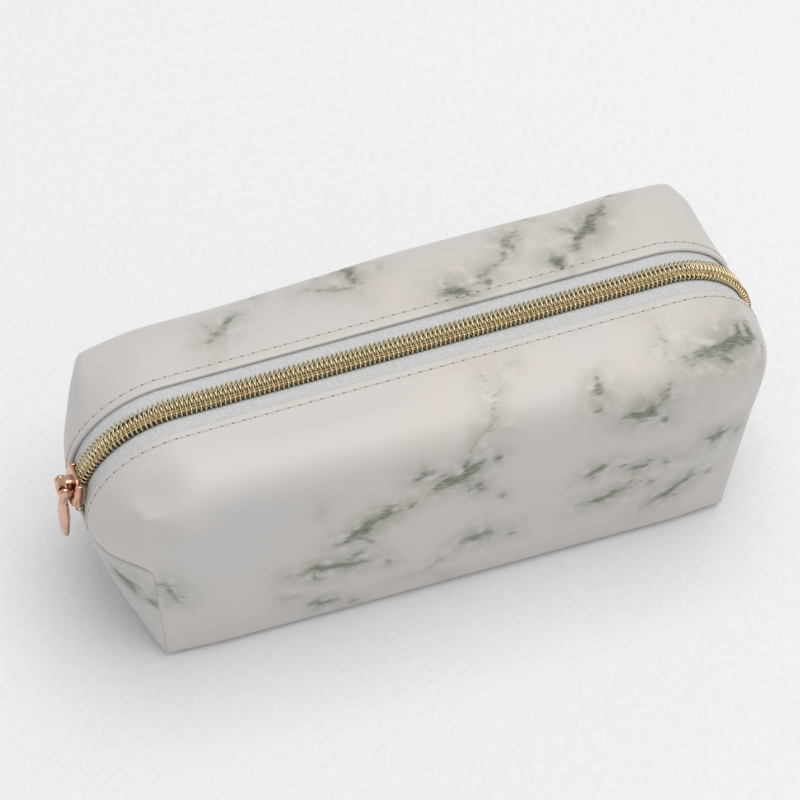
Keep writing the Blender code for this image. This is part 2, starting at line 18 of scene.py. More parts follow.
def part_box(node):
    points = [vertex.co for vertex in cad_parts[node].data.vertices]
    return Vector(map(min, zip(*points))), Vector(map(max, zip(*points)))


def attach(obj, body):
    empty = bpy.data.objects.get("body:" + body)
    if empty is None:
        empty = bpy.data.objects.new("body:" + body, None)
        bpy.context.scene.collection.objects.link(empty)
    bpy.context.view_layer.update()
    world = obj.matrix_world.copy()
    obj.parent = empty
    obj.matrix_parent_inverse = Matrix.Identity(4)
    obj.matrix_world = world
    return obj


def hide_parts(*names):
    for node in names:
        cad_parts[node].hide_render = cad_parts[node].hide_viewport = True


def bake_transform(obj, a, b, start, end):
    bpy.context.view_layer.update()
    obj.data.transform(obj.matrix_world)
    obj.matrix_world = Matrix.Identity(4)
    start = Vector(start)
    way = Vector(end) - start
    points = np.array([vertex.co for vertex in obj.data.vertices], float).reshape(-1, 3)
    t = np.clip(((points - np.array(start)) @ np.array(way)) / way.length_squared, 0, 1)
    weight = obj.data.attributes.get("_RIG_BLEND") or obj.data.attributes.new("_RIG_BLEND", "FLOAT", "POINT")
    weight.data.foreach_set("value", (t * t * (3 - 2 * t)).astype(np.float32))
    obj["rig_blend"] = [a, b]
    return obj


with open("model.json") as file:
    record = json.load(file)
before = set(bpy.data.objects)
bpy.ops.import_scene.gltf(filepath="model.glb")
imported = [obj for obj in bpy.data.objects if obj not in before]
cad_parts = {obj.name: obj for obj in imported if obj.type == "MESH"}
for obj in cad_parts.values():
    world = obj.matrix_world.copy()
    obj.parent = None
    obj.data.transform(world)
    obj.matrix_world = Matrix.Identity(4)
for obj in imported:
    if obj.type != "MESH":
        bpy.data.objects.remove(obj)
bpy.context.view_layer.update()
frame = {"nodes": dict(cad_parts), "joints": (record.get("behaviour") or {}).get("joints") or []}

MM = 0.001
JOINTS = {joint["name"]: joint for joint in frame["joints"]}


# ---------------------------------------------------------------- driving dimensions, read from the frame

def joint_place(name):
    return Vector(JOINTS[name]["pos_m"])


LEFT_BEND = joint_place("slider_travel")
FRONT_FOLD = joint_place("flap_front_fold")
BACK_FOLD = joint_place("flap_back_fold")
PULL_PIN = joint_place("pull_swing")
SLIDER_ANGLE = math.radians(JOINTS["slider_travel"]["range_deg"][1])

TAPE_LOW, TAPE_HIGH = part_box("tape_front")
TAPE_OUTER = -TAPE_LOW.y
ZIP_HEIGHT = TAPE_HIGH.z
TAPE_THICKNESS = TAPE_HIGH.z - TAPE_LOW.z
COIL_HALF = -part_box("coil_front")[0].y
COIL_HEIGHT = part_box("coil_front")[1].z - ZIP_HEIGHT
FLAP_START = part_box("flap_front")[0].x
FLAP_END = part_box("flap_front")[1].x
SLOT_HALF = -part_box("flap_front")[1].y
EDGE_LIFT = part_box("flap_front")[1].z - ZIP_HEIGHT
END_SEAM_HEIGHT = 0.5 * (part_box("end_binding_left")[0].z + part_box("end_binding_left")[1].z)
BOTTOM_INSET = 5.2 * MM
END_BULGE_AT_BOTTOM = 3.5 * MM
BOTTOM_HALF_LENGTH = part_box("bottom_panel")[1].x + BOTTOM_INSET - END_BULGE_AT_BOTTOM

STRAIGHT_HALF = -LEFT_BEND.x
BEND_HEIGHT = LEFT_BEND.z
BEND_RADIUS = ZIP_HEIGHT - BEND_HEIGHT
BEND_LENGTH = BEND_RADIUS * math.pi / 2
PATH_HALF = STRAIGHT_HALF + BEND_LENGTH + BEND_HEIGHT - END_SEAM_HEIGHT
EAR_PATH = STRAIGHT_HALF + 0.5 * BEND_LENGTH

TOP_HALF_WIDTH = -FRONT_FOLD.y
BACK_EXTRA = BACK_FOLD.y + FRONT_FOLD.y
SPLAY = 2.3 * MM
FOLD_RISE = 3.0 * MM
FOLD_HEIGHT = FRONT_FOLD.z + FOLD_RISE
FOLD_OUT = 1.6 * MM
EAR_HEIGHT = 75.5 * MM
EAR_HALF_LENGTH = 97.0 * MM
SEAM_HALF_LENGTH = 93.0 * MM
BOTTOM_HALF_WIDTH = 33.0 * MM
CORNER_BOTTOM_HALF_WIDTH = 32.2 * MM
CORNER_TOP_HALF_WIDTH = 33.2 * MM
END_BULGE = 1.2 * MM
WALL_BULGE = 0.8 * MM
HEM_RADIUS = 4.0 * MM
SLOT_PULL = 60.0 * MM
SLOT_PULL_AT_END = 46.0 * MM
SLOT_DROP = 0.03
FOLD_PULL = 34.0 * MM
EAR_PULL = 16.0 * MM
CORNER_SEAM_PULL = 24.0 * MM
INTO_SEAM_X = 0.45
INTO_SEAM_Y = 0.89

SKIN_THICKNESS = 0.5 * MM
ROLL_RADIUS = 0.62 * MM
HEM_RETURN = 4.0 * MM
STITCH_INSET = 2.1 * MM
STITCH_PITCH = 3.3 * MM
STITCH_SIZE = (2.3 * MM, 0.55 * MM, 0.5 * MM)
# Flat dark marks at the needle holes: painted shade inside the holes.
NEEDLE_HOLE_SHADE_SIZE = (1.0 * MM, 0.4 * MM, 0.12 * MM)
SEAM_END_GAP = 2.0 * MM
LINING_DEPTH = 1.7 * MM
LINING_THICKNESS = 0.3 * MM
LINING_TUCK = (0.98, 0.96, 0.985)
MOUTH_EASE = 46.0 * MM
SEAM_DIP = 0.9 * MM
SEAM_REACH = 2.6 * MM
UPRIGHT_SEAM = 10.0 * MM
EAR_ROUNDING = 10.0 * MM
FOLD_BEND = 5.0 * MM
ROUNDING_REACH = 16.0 * MM
ROUNDING = 0.35
CORNER_ROUNDING = 0.12
STITCHED_ROWS = 7
SKIN_STEP = 2.0 * MM
LINING_STEP = 3.0 * MM

# Where the print of the lower ends and of the bottom lies on the sheet, in millimetres.
END_PRINT_PLACE = 200
BOTTOM_PRINT_PLACE = 400

SIDE_NAMES = {1.0: "front", -1.0: "back"}


# ---------------------------------------------------------------- curves of the skin

def smooth(t):
    t = min(max(t, 0.0), 1.0)
    return t * t * (3.0 - 2.0 * t)


def mix(a, b, t):
    return a + (b - a) * t


def steps(start, end, count):
    return [mix(start, end, i / count) for i in range(count + 1)]


def hermite(start, start_pull, end, end_pull, t):
    t2 = t * t
    t3 = t2 * t
    return (
        start * (2 * t3 - 3 * t2 + 1)
        + start_pull * (t3 - 2 * t2 + t)
        + end * (3 * t2 - 2 * t3)
        + end_pull * (t3 - t2)
    )


def zip_frame(s):
    """Point and outward normal in the XZ plane at path length s from the middle of the top."""
    side = -1.0 if s < 0 else 1.0
    run = abs(s)
    if run <= STRAIGHT_HALF:
        return Vector((s, 0, ZIP_HEIGHT)), Vector((0, 0, 1))
    run -= STRAIGHT_HALF
    if run <= BEND_LENGTH:
        angle = run / BEND_RADIUS
        normal = Vector((side * math.sin(angle), 0, math.cos(angle)))
        return Vector((side * STRAIGHT_HALF, 0, BEND_HEIGHT)) + normal * BEND_RADIUS, normal
    run -= BEND_LENGTH
    return Vector((side * (STRAIGHT_HALF + BEND_RADIUS), 0, BEND_HEIGHT - run)), Vector((side, 0, 0))


def on_zip(s, y, height):
    """A point y across from the zip's centre and so high over its tape."""
    base, normal = zip_frame(s)
    return base + normal * height + Vector((0, y, 0))


def corner_blend(x):
    """0 along the straight middle, 1 at the corner seams."""
    return smooth((abs(x) - STRAIGHT_HALF) / (EAR_HALF_LENGTH - STRAIGHT_HALF))


def corner_half_length(z):
    if z < END_SEAM_HEIGHT:
        return mix(BOTTOM_HALF_LENGTH, SEAM_HALF_LENGTH, z / END_SEAM_HEIGHT)
    return mix(SEAM_HALF_LENGTH, EAR_HALF_LENGTH, (z - END_SEAM_HEIGHT) / (EAR_HEIGHT - END_SEAM_HEIGHT))


def corner_half_width(z):
    return mix(CORNER_BOTTOM_HALF_WIDTH, CORNER_TOP_HALF_WIDTH, z / EAR_HEIGHT)


def fold_point(x):
    """The fold between the front wall and its upper half, rising to the ear at each corner."""
    blend = corner_blend(x)
    y = mix(TOP_HALF_WIDTH + FOLD_OUT, CORNER_TOP_HALF_WIDTH, blend)
    return Vector((x, -y, mix(FOLD_HEIGHT, EAR_HEIGHT, blend)))


def outer_edge(s):
    """Outer edge of the upper half and the pull of its surface there."""
    side = -1.0 if s < 0 else 1.0
    run = abs(s)
    down = Vector((0, 0, -1))
    into_seam = Vector((-INTO_SEAM_X * side, -INTO_SEAM_Y, 0))
    if run <= EAR_PATH:
        t = (run - STRAIGHT_HALF) / (EAR_PATH - STRAIGHT_HALF)
        x = side * mix(STRAIGHT_HALF, EAR_HALF_LENGTH, t) if t > 0 else s
        turn = 0.5 * smooth(t)
        pull = mix(FOLD_PULL, EAR_PULL, smooth(t))
        return fold_point(x), (down * (1 - turn) + into_seam * turn) * pull
    t = (run - EAR_PATH) / (PATH_HALF - EAR_PATH)
    z = mix(EAR_HEIGHT, END_SEAM_HEIGHT, t)
    turn = 0.5 + 0.5 * smooth(t * 3)
    point = Vector((side * corner_half_length(z), -corner_half_width(z), z))
    pull = mix(EAR_PULL, CORNER_SEAM_PULL, smooth(t * 2))
    return point, (down * (1 - turn) + into_seam * turn) * pull


def upper_point(s, b):
    """Front upper half: from the folded edge beside the zip (b = 0) to the fold or corner seam (b = 1)."""
    base, normal = zip_frame(s)
    start = base + normal * EDGE_LIFT + Vector((0, -SLOT_HALF - ROLL_RADIUS, 0))
    start_pull = (Vector((0, -1, 0)) - normal * SLOT_DROP) * mix(SLOT_PULL, SLOT_PULL_AT_END, corner_blend(s))
    end, end_pull = outer_edge(s)
    return hermite(start, start_pull, end, end_pull, b)


def wall_point(x_at_fold, corner_height):
    """Front wall, by where its column meets the fold and how high its row is at the corner seam."""
    top = fold_point(x_at_fold)
    if corner_height < HEM_RADIUS:
        angle = math.acos(1 - corner_height / HEM_RADIUS)
        z = corner_height
        inset = HEM_RADIUS * (1 - math.sin(angle))
    else:
        z = mix(HEM_RADIUS, top.z, (corner_height - HEM_RADIUS) / (EAR_HEIGHT - HEM_RADIUS))
        inset = 0.0
    x = x_at_fold / EAR_HALF_LENGTH * (corner_half_length(corner_height) - inset)
    rise = min(z / FOLD_HEIGHT, 1.0)
    middle = mix(BOTTOM_HALF_WIDTH, TOP_HALF_WIDTH + FOLD_OUT, rise) + WALL_BULGE * math.sin(math.pi * rise)
    y = mix(middle, corner_half_width(corner_height), corner_blend(x_at_fold))
    return Vector((x, -(y - inset), z))


def placed(point, side):
    """Mirror a front point for the back, then widen the pouch at its back and towards +X."""
    y = point.y * side
    share = min(max(abs(y) - SLOT_HALF, 0.0) / (TOP_HALF_WIDTH - SLOT_HALF), 1.0)
    extra = share * math.copysign(SPLAY * abs(point.x) / EAR_HALF_LENGTH, point.x)
    if y > 0:
        return Vector((point.x, y + extra + share * BACK_EXTRA, point.z))
    return Vector((point.x, y - extra, point.z))


# ---------------------------------------------------------------- mesh helpers

def flat_arrays(points, faces, sheet):
    return np.array([tuple(p) for p in points]), faces, np.array(sheet, float)


def grid_faces(ids):
    faces = []
    for row, following in zip(ids, ids[1:]):
        for j in range(len(row) - 1):
            faces.append((row[j], following[j], following[j + 1], row[j + 1]))
    return faces


def grid_arrays(columns, rows, place):
    """Points, faces and sheet places of a grid: place(u, v) gives a point and its place on the sheet."""
    points, sheet, ids = [], [], []
    for u in columns:
        ids.append(range(len(points), len(points) + len(rows)))
        for v in rows:
            point, flat = place(u, v)
            points.append(point)
            sheet.append(flat)
    return flat_arrays(points, grid_faces(ids), sheet)


def make_piece(name, points, faces, sheet=None):
    """A smooth mesh object from arrays, with its place on the flat sheet in millimetres."""
    mesh = bpy.data.meshes.new(name)
    mesh.from_pydata([tuple(p) for p in points], [], [tuple(f) for f in faces])
    if sheet is not None:
        write_vectors(mesh, "sheet", np.asarray(sheet))
    mesh.polygons.foreach_set("use_smooth", [True] * len(mesh.polygons))
    obj = bpy.data.objects.new(name, mesh)
    bpy.context.scene.collection.objects.link(obj)
    return obj


def write_vectors(mesh, name, values):
    attribute = mesh.attributes.new(name, "FLOAT_VECTOR", "POINT")
    full = np.zeros((len(mesh.vertices), 3), np.float32)
    full[:, : values.shape[1]] = values
    attribute.data.foreach_set("vector", full.ravel())


def write_floats(mesh, name, values):
    attribute = mesh.attributes.get(name) or mesh.attributes.new(name, "FLOAT", "POINT")
    attribute.data.foreach_set("value", np.asarray(values, np.float32))


def read_sheet(mesh):
    values = np.zeros(len(mesh.vertices) * 3, np.float32)
    mesh.attributes["sheet"].data.foreach_get("vector", values)
    return values.reshape(-1, 3)


def face_outwards(obj):
    """Turn the faces so that they look away from the middle of the pouch."""
    bm = bmesh.new()
    bm.from_mesh(obj.data)
    centre = Vector((0, 0, 0.5 * ZIP_HEIGHT))
    bm.normal_update()
    facing = sum(f.normal.dot(f.calc_center_median() - centre) * f.calc_area() for f in bm.faces)
    if facing < 0:
        bmesh.ops.reverse_faces(bm, faces=bm.faces)
    bm.to_mesh(obj.data)
    bm.free()


def add_subdivision(obj, levels):
    modifier = obj.modifiers.new("subdivision", "SUBSURF")
    modifier.levels = levels
    modifier.render_levels = levels


def add_thickness(obj, thickness):
    modifier = obj.modifiers.new("thickness", "SOLIDIFY")
    modifier.thickness = thickness
    modifier.offset = -1.0


def apply_modifiers(obj):
    """Replace the mesh by what its modifiers make of it."""
    graph = bpy.context.evaluated_depsgraph_get()
    mesh = bpy.data.meshes.new_from_object(obj.evaluated_get(graph), depsgraph=graph)
    obj.modifiers.clear()
    old = obj.data
    obj.data = mesh
    bpy.data.meshes.remove(old)


def outward_piece(name, arrays):
    obj = make_piece(name, *arrays)
    face_outwards(obj)
    return obj


def vertex_array(mesh, kind="co"):
    values = np.zeros(len(mesh.vertices) * 3)
    mesh.vertices.foreach_get(kind, values)
    return values.reshape(-1, 3)


def thicken(obj, thickness):
    """Subdivide a sheet and give it its thickness."""
    add_subdivision(obj, 1)
    add_thickness(obj, thickness)
    apply_modifiers(obj)


def relax(points, faces, strength, rounds):
    """Round a mesh: each round moves every point towards the mean of its neighbours, by its strength."""
    edges = set()
    for face in faces:
        for a, b in zip(face, face[1:] + face[:1]):
            edges.add((min(a, b), max(a, b)))
    pairs = np.array(sorted(edges))
    count = np.zeros(len(points))
    np.add.at(count, pairs[:, 0], 1)
    np.add.at(count, pairs[:, 1], 1)
    for _ in range(rounds):
        total = np.zeros_like(points)
        np.add.at(total, pairs[:, 0], points[pairs[:, 1]])
        np.add.at(total, pairs[:, 1], points[pairs[:, 0]])
        points = points + strength[:, None] * (total / count[:, None] - points)
    return points


def ring_faces(rings, sides):
    """Faces between rings of equal count, and over both ends."""
    faces = []
    for i in range(rings - 1):
        a, b = i * sides, (i + 1) * sides
        for k in range(sides):
            following = (k + 1) % sides
            faces.append((a + k, a + following, b + following, b + k))
    faces.append(tuple(reversed(range(sides))))
    faces.append(tuple(range((rings - 1) * sides, rings * sides)))
    return faces


def joined(pieces):
    """One set of points and faces from several."""
    points_all, faces_all = [], []
    for points, faces in pieces:
        start = len(points_all)
        points_all += list(points)
        faces_all += [tuple(start + k for k in face) for face in faces]
    return points_all, faces_all


def tube(points, radius, sides):
    """Points and faces of a round wire along a path, with closed ends."""
    path = np.array([tuple(p) for p in points])
    tangent = np.gradient(path, axis=0)
    tangent /= np.linalg.norm(tangent, axis=1)[:, None]
    first = np.cross(tangent[0], (0.3, 1.0, 0.2))
    first /= np.linalg.norm(first)
    rings = []
    for place, direction in zip(path, tangent):
        first = first - direction * first.dot(direction)
        first /= np.linalg.norm(first)
        second = np.cross(direction, first)
        for k in range(sides):
            angle = 2 * math.pi * k / sides
            rings.append(place + radius * (math.cos(angle) * first + math.sin(angle) * second))
    return np.array(rings), ring_faces(len(path), sides)


# ---------------------------------------------------------------- materials

def new_material(name):
    material = bpy.data.materials.new(name)
    material.use_nodes = True
    tree = material.node_tree
    return material, tree, tree.nodes["Principled BSDF"]


def add_node(tree, kind, inputs=None, **settings):
    node = tree.nodes.new(kind)
    for key, value in settings.items():
        setattr(node, key, value)
    for key, value in (inputs or {}).items():
        if isinstance(value, bpy.types.NodeSocket):
            tree.links.new(value, node.inputs[key])
        else:
            node.inputs[key].default_value = value
    return node


def attribute(tree, name, output="Fac"):
    return add_node(tree, "ShaderNodeAttribute", attribute_name=name).outputs[output]


def new_sheet_material(name):
    """A material, its tree and shader, and the places of its points on the flat sheet."""
    material, tree, shader = new_material(name)
    return material, tree, shader, attribute(tree, "sheet", "Vector")


def math_node(tree, operation, first, second=0.0):
    return add_node(tree, "ShaderNodeMath", {0: first, 1: second}, operation=operation).outputs[0]


def times(tree, first, second):
    return math_node(tree, "MULTIPLY", first, second)


def plus(tree, first, second):
    return math_node(tree, "ADD", first, second)


def noise_value(tree, vector, scale, detail=2.0, roughness=0.5):
    inputs = {"Vector": vector, "Scale": scale, "Detail": detail, "Roughness": roughness}
    return add_node(tree, "ShaderNodeTexNoise", inputs).outputs["Fac"]


def ramp(tree, value, low, high):
    """Smoothly from 0 at low to 1 at high."""
    inputs = {"Value": value, "From Min": low, "From Max": high}
    return add_node(tree, "ShaderNodeMapRange", inputs, interpolation_type="SMOOTHSTEP").outputs["Result"]


def mix_color(tree, share, first, second):
    node = add_node(tree, "ShaderNodeMix", data_type="RGBA")
    for key, value in (("Factor", share), ("A", first), ("B", second)):
        socket = [s for s in node.inputs if s.name == key and s.enabled][0]
        if isinstance(value, bpy.types.NodeSocket):
            tree.links.new(value, socket)
        else:
            socket.default_value = value if key == "Factor" else (*value, 1.0)
    return [s for s in node.outputs if s.enabled][0]


def connect_bump(tree, shader, height, strength, distance):
    inputs = {"Height": height, "Strength": strength, "Distance": distance}
    bump = add_node(tree, "ShaderNodeBump", inputs)
    tree.links.new(bump.outputs["Normal"], shader.inputs["Normal"])


def set_inputs(shader, values):
    for key, value in values.items():
        shader.inputs[key].default_value = value


def leather_material():
    """Semi-gloss PU leather with a fine grain and a grey-green marble print."""
    material, tree, shader, place = new_sheet_material("marble_pu_leather")
    vein = attribute(tree, "vein")
    halo = attribute(tree, "halo")
    cloudy = noise_value(tree, place, 0.035, 3.0)
    base = mix_color(tree, ramp(tree, cloudy, 0.35, 0.65), (0.64, 0.59, 0.545), (0.62, 0.59, 0.555))
    warm = noise_value(tree, place, 0.012, 2.0)
    base = mix_color(tree, ramp(tree, warm, 0.45, 0.7), base, (0.60, 0.58, 0.56))
    turned = {"Vector": place, "Rotation": (0, 0, math.radians(20)), "Scale": (0.45, 1.4, 1.0)}
    streaked = add_node(tree, "ShaderNodeMapping", turned).outputs["Vector"]
    ragged = noise_value(tree, streaked, 0.6, 3.0, 0.5)
    blotch = noise_value(tree, place, 0.22, 3.0)
    tint = times(tree, halo, ramp(tree, blotch, 0.25, 0.55))
    tinted = mix_color(tree, times(tree, tint, 0.85), base, (0.30, 0.305, 0.245))
    centred = math_node(tree, "SUBTRACT", ragged, 0.5)
    torn = plus(tree, vein, times(tree, centred, 1.1))
    core = times(tree, ramp(tree, torn, 0.18, 0.85), ramp(tree, vein, 0.02, 0.3))
    speck = noise_value(tree, streaked, 0.9, 2.0, 0.5)
    dark = mix_color(tree, ramp(tree, speck, 0.42, 0.62), (0.10, 0.105, 0.08), (0.22, 0.225, 0.18))
    color = mix_color(tree, times(tree, core, 0.82), tinted, dark)
    tree.links.new(color, shader.inputs["Base Color"])
    gloss = noise_value(tree, place, 0.25, 3.0)
    rough = add_node(tree, "ShaderNodeMapRange", {"Value": gloss, "To Min": 0.36, "To Max": 0.46})
    tree.links.new(rough.outputs["Result"], shader.inputs["Roughness"])
    cells = add_node(
        tree, "ShaderNodeTexVoronoi", {"Vector": place, "Scale": 1.9, "Randomness": 1.0}, feature="F1"
    ).outputs["Distance"]
    fine = noise_value(tree, place, 5.0, 2.0)
    grain = plus(tree, cells, times(tree, fine, 0.5))
    connect_bump(tree, shader, grain, 0.22, 0.05 * MM)
    set_inputs(shader, {"Specular IOR Level": 0.5, "Coat Weight": 0.12, "Coat Roughness": 0.3})
    return material


def woven_material(name, color, darker, threads_per_mm, bump_strength):
    """Plain woven cloth: two sets of threads crossing, with uneven shade and a soft sheen."""
    material, tree, shader, place = new_sheet_material(name)
    split = add_node(tree, "ShaderNodeSeparateXYZ", {"Vector": place})
    turns = 2 * math.pi * threads_per_mm
    warp = math_node(tree, "SINE", times(tree, split.outputs["X"], turns))
    weft = math_node(tree, "SINE", times(tree, split.outputs["Y"], turns))
    weave = times(tree, warp, weft)
    uneven = noise_value(tree, place, 0.4, 4.0)
    shade = plus(tree, times(tree, weave, 0.25), uneven)
    tree.links.new(mix_color(tree, ramp(tree, shade, 0.2, 0.8), darker, color), shader.inputs["Base Color"])
    connect_bump(tree, shader, weave, bump_strength, 0.08 * MM)
    set_inputs(shader, {"Roughness": 0.85, "Sheen Weight": 0.25, "Sheen Roughness": 0.5})
    return material


def tape_material():
    """Zip tape: close ribs across the tape, slightly uneven, with a soft sheen, and dark under the coil: cord
    and painted shade.
    """
    material, tree, shader, place = new_sheet_material("ribbed_tape")
    split = add_node(tree, "ShaderNodeSeparateXYZ", {"Vector": place})
    along = split.outputs["X"]
    across = split.outputs["Y"]
    drift = times(tree, noise_value(tree, place, 0.5), 1.2)
    rib = math_node(tree, "SINE", plus(tree, times(tree, along, 11.5), drift))
    thread = math_node(tree, "SINE", times(tree, across, 9.0))
    weave = plus(tree, rib, times(tree, thread, 0.45))
    uneven = noise_value(tree, place, 0.9, 4.0)
    uneven = times(tree, uneven, 0.8)
    shade = plus(tree, times(tree, weave, 0.16), uneven)
    pale = mix_color(tree, ramp(tree, shade, 0.15, 0.75), (0.60, 0.61, 0.605), (0.76, 0.775, 0.77))
    # Dark strip under the coil: partly the dark core cord, partly painted shade cast by the coil on the tape.
    color = mix_color(tree, ramp(tree, across, 2.9, 3.6), (0.07, 0.072, 0.06), pale)
    tree.links.new(color, shader.inputs["Base Color"])
    connect_bump(tree, shader, weave, 0.6, 0.12 * MM)
    set_inputs(shader, {"Roughness": 0.8, "Sheen Weight": 0.3, "Sheen Roughness": 0.45})
    return material


def metal_material(name, color, worn, roughness, scale):
    """Plated metal with faint mottling, rubbed patches and fine scratches."""
    material, tree, shader, place = new_sheet_material(name)
    mottle = noise_value(tree, place, scale, 4.0)
    tree.links.new(mix_color(tree, ramp(tree, mottle, 0.3, 0.75), color, worn), shader.inputs["Base Color"])
    rough = add_node(
        tree, "ShaderNodeMapRange", {"Value": mottle, "To Min": roughness * 0.8, "To Max": roughness * 1.4}
    )
    tree.links.new(rough.outputs["Result"], shader.inputs["Roughness"])
    connect_bump(tree, shader, noise_value(tree, place, scale * 6, 3.0), 0.05, 0.02 * MM)
    shader.inputs["Metallic"].default_value = 1.0
    return material


def thread_material(name, color, darker):
    """Twisted thread: fine diagonal strands of two shades."""
    material, tree, shader, place = new_sheet_material(name)
    split = add_node(tree, "ShaderNodeSeparateXYZ", {"Vector": place})
    diagonal = plus(tree, split.outputs["X"], split.outputs["Y"])
    strand = math_node(tree, "SINE", times(tree, diagonal, 14.0))
    tree.links.new(mix_color(tree, ramp(tree, strand, -0.8, 0.8), darker, color), shader.inputs["Base Color"])
    connect_bump(tree, shader, strand, 0.4, 0.05 * MM)
    set_inputs(shader, {"Roughness": 0.6, "Sheen Weight": 0.2})
    return material


def paper_material():
    """Pale, nearly white backdrop with a faint tooth."""
    material, tree, shader = new_material("pale_paper")
    place = add_node(tree, "ShaderNodeTexCoord").outputs["Object"]
    tooth = noise_value(tree, place, 420.0, 4.0, 0.6)
    shade = mix_color(tree, ramp(tree, tooth, 0.25, 0.75), (0.86, 0.86, 0.86), (0.90, 0.90, 0.90))
    tree.links.new(shade, shader.inputs["Base Color"])
    connect_bump(tree, shader, tooth, 0.18, 0.25 * MM)
    shader.inputs["Roughness"].default_value = 0.9
    return material


MATERIALS = {
    "leather": leather_material(),
    "lining": woven_material("woven_lining", (0.62, 0.62, 0.61), (0.47, 0.47, 0.465), 2.2, 0.4),
    "binding": woven_material("woven_binding", (0.55, 0.55, 0.54), (0.36, 0.36, 0.355), 1.2, 0.7),
    "tape": tape_material(),
    "coil": metal_material("gold_coil", (0.82, 0.67, 0.38), (0.93, 0.83, 0.60), 0.20, 0.8),
    "coil_thread": thread_material("gold_thread", (0.72, 0.55, 0.24), (0.34, 0.24, 0.09)),
    "slider": metal_material("rose_gold", (0.76, 0.49, 0.36), (0.62, 0.36, 0.25), 0.13, 0.5),
    "stitch": thread_material("seam_thread", (0.68, 0.64, 0.59), (0.56, 0.52, 0.48)),
    # Needle holes: dark colour painted as the shade inside the holes.
    "needle_hole_shade": thread_material("needle_hole_shades", (0.20, 0.185, 0.17), (0.10, 0.09, 0.085)),
}


def dress(obj, material):
    obj.data.materials.clear()
    obj.data.materials.append(MATERIALS[material])
    return obj


# ---------------------------------------------------------------- how pieces follow the flaps

def ease(values):
    values = np.clip(values, 0.0, 1.0)
    return values * values * (3.0 - 2.0 * values)


def follow_flap(obj, side, fold_girth=None):
    """Bend a piece with its flap: fully in the middle of the mouth, easing to nothing at both its ends,
    and from the wall to the flap round the fold."""
    name = SIDE_NAMES[side]
    body = f"flap_{name}_body"
    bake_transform(obj, "root", body, (0, 0, FRONT_FOLD.z), (0, 0, ZIP_HEIGHT))
    sheet = read_sheet(obj.data) * MM
    from_start = (sheet[:, 0] - FLAP_START) / MOUTH_EASE
    from_end = (FLAP_END - sheet[:, 0]) / MOUTH_EASE
    weights = ease(from_start) * ease(from_end)
    if fold_girth is not None:
        weights *= ease((fold_girth + FOLD_BEND - sheet[:, 1]) / (2 * FOLD_BEND))
    write_floats(obj.data, "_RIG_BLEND", weights)
    return obj


# ---------------------------------------------------------------- outer skin and lining

def path_stations(step):
    """Path lengths along the whole zip, each bend and drop divided evenly, so that both ends match."""
    straight = steps(-STRAIGHT_HALF, STRAIGHT_HALF, round(2 * STRAIGHT_HALF / step))
    to_ear = steps(STRAIGHT_HALF, EAR_PATH, round((EAR_PATH - STRAIGHT_HALF) / step))[1:]
    to_seam = steps(EAR_PATH, PATH_HALF, round((PATH_HALF - EAR_PATH) / step))[1:]
    outer = to_ear + to_seam
    return [-s for s in reversed(outer)] + straight + outer


def across_stations(step, rolled):
    """Shares b of the way from the zip's edge to the fold, with close rows at the stitched edge."""
    edge = [0.0, 0.6, 1.2, 1.7, 2.1, 2.5, 3.3, 4.6] if rolled else [2.5, 4.5]
    edge = [distance * MM / SLOT_PULL for distance in edge]
    rest = steps(edge[-1], 1.0, round(TOP_HALF_WIDTH * (1 - edge[-1]) / step))[1:]
    return edge + rest


def roll_rows(s):
    """The edge beside the zip, turned under: points from the end of the turned part up to the edge."""
    _, normal = zip_frame(s)
    towards_zip = Vector((0, 1, 0))
    centre = upper_point(s, 0.0) - normal * ROLL_RADIUS
    rows = [centre - normal * ROLL_RADIUS - towards_zip * HEM_RETURN * share for share in (1.0, 0.5, 0.1)]
    for angle in steps(math.pi, 0.0, 6)[:-1]:
        rows.append(centre + ROLL_RADIUS * (math.sin(angle) * towards_zip + math.cos(angle) * normal))
    return rows


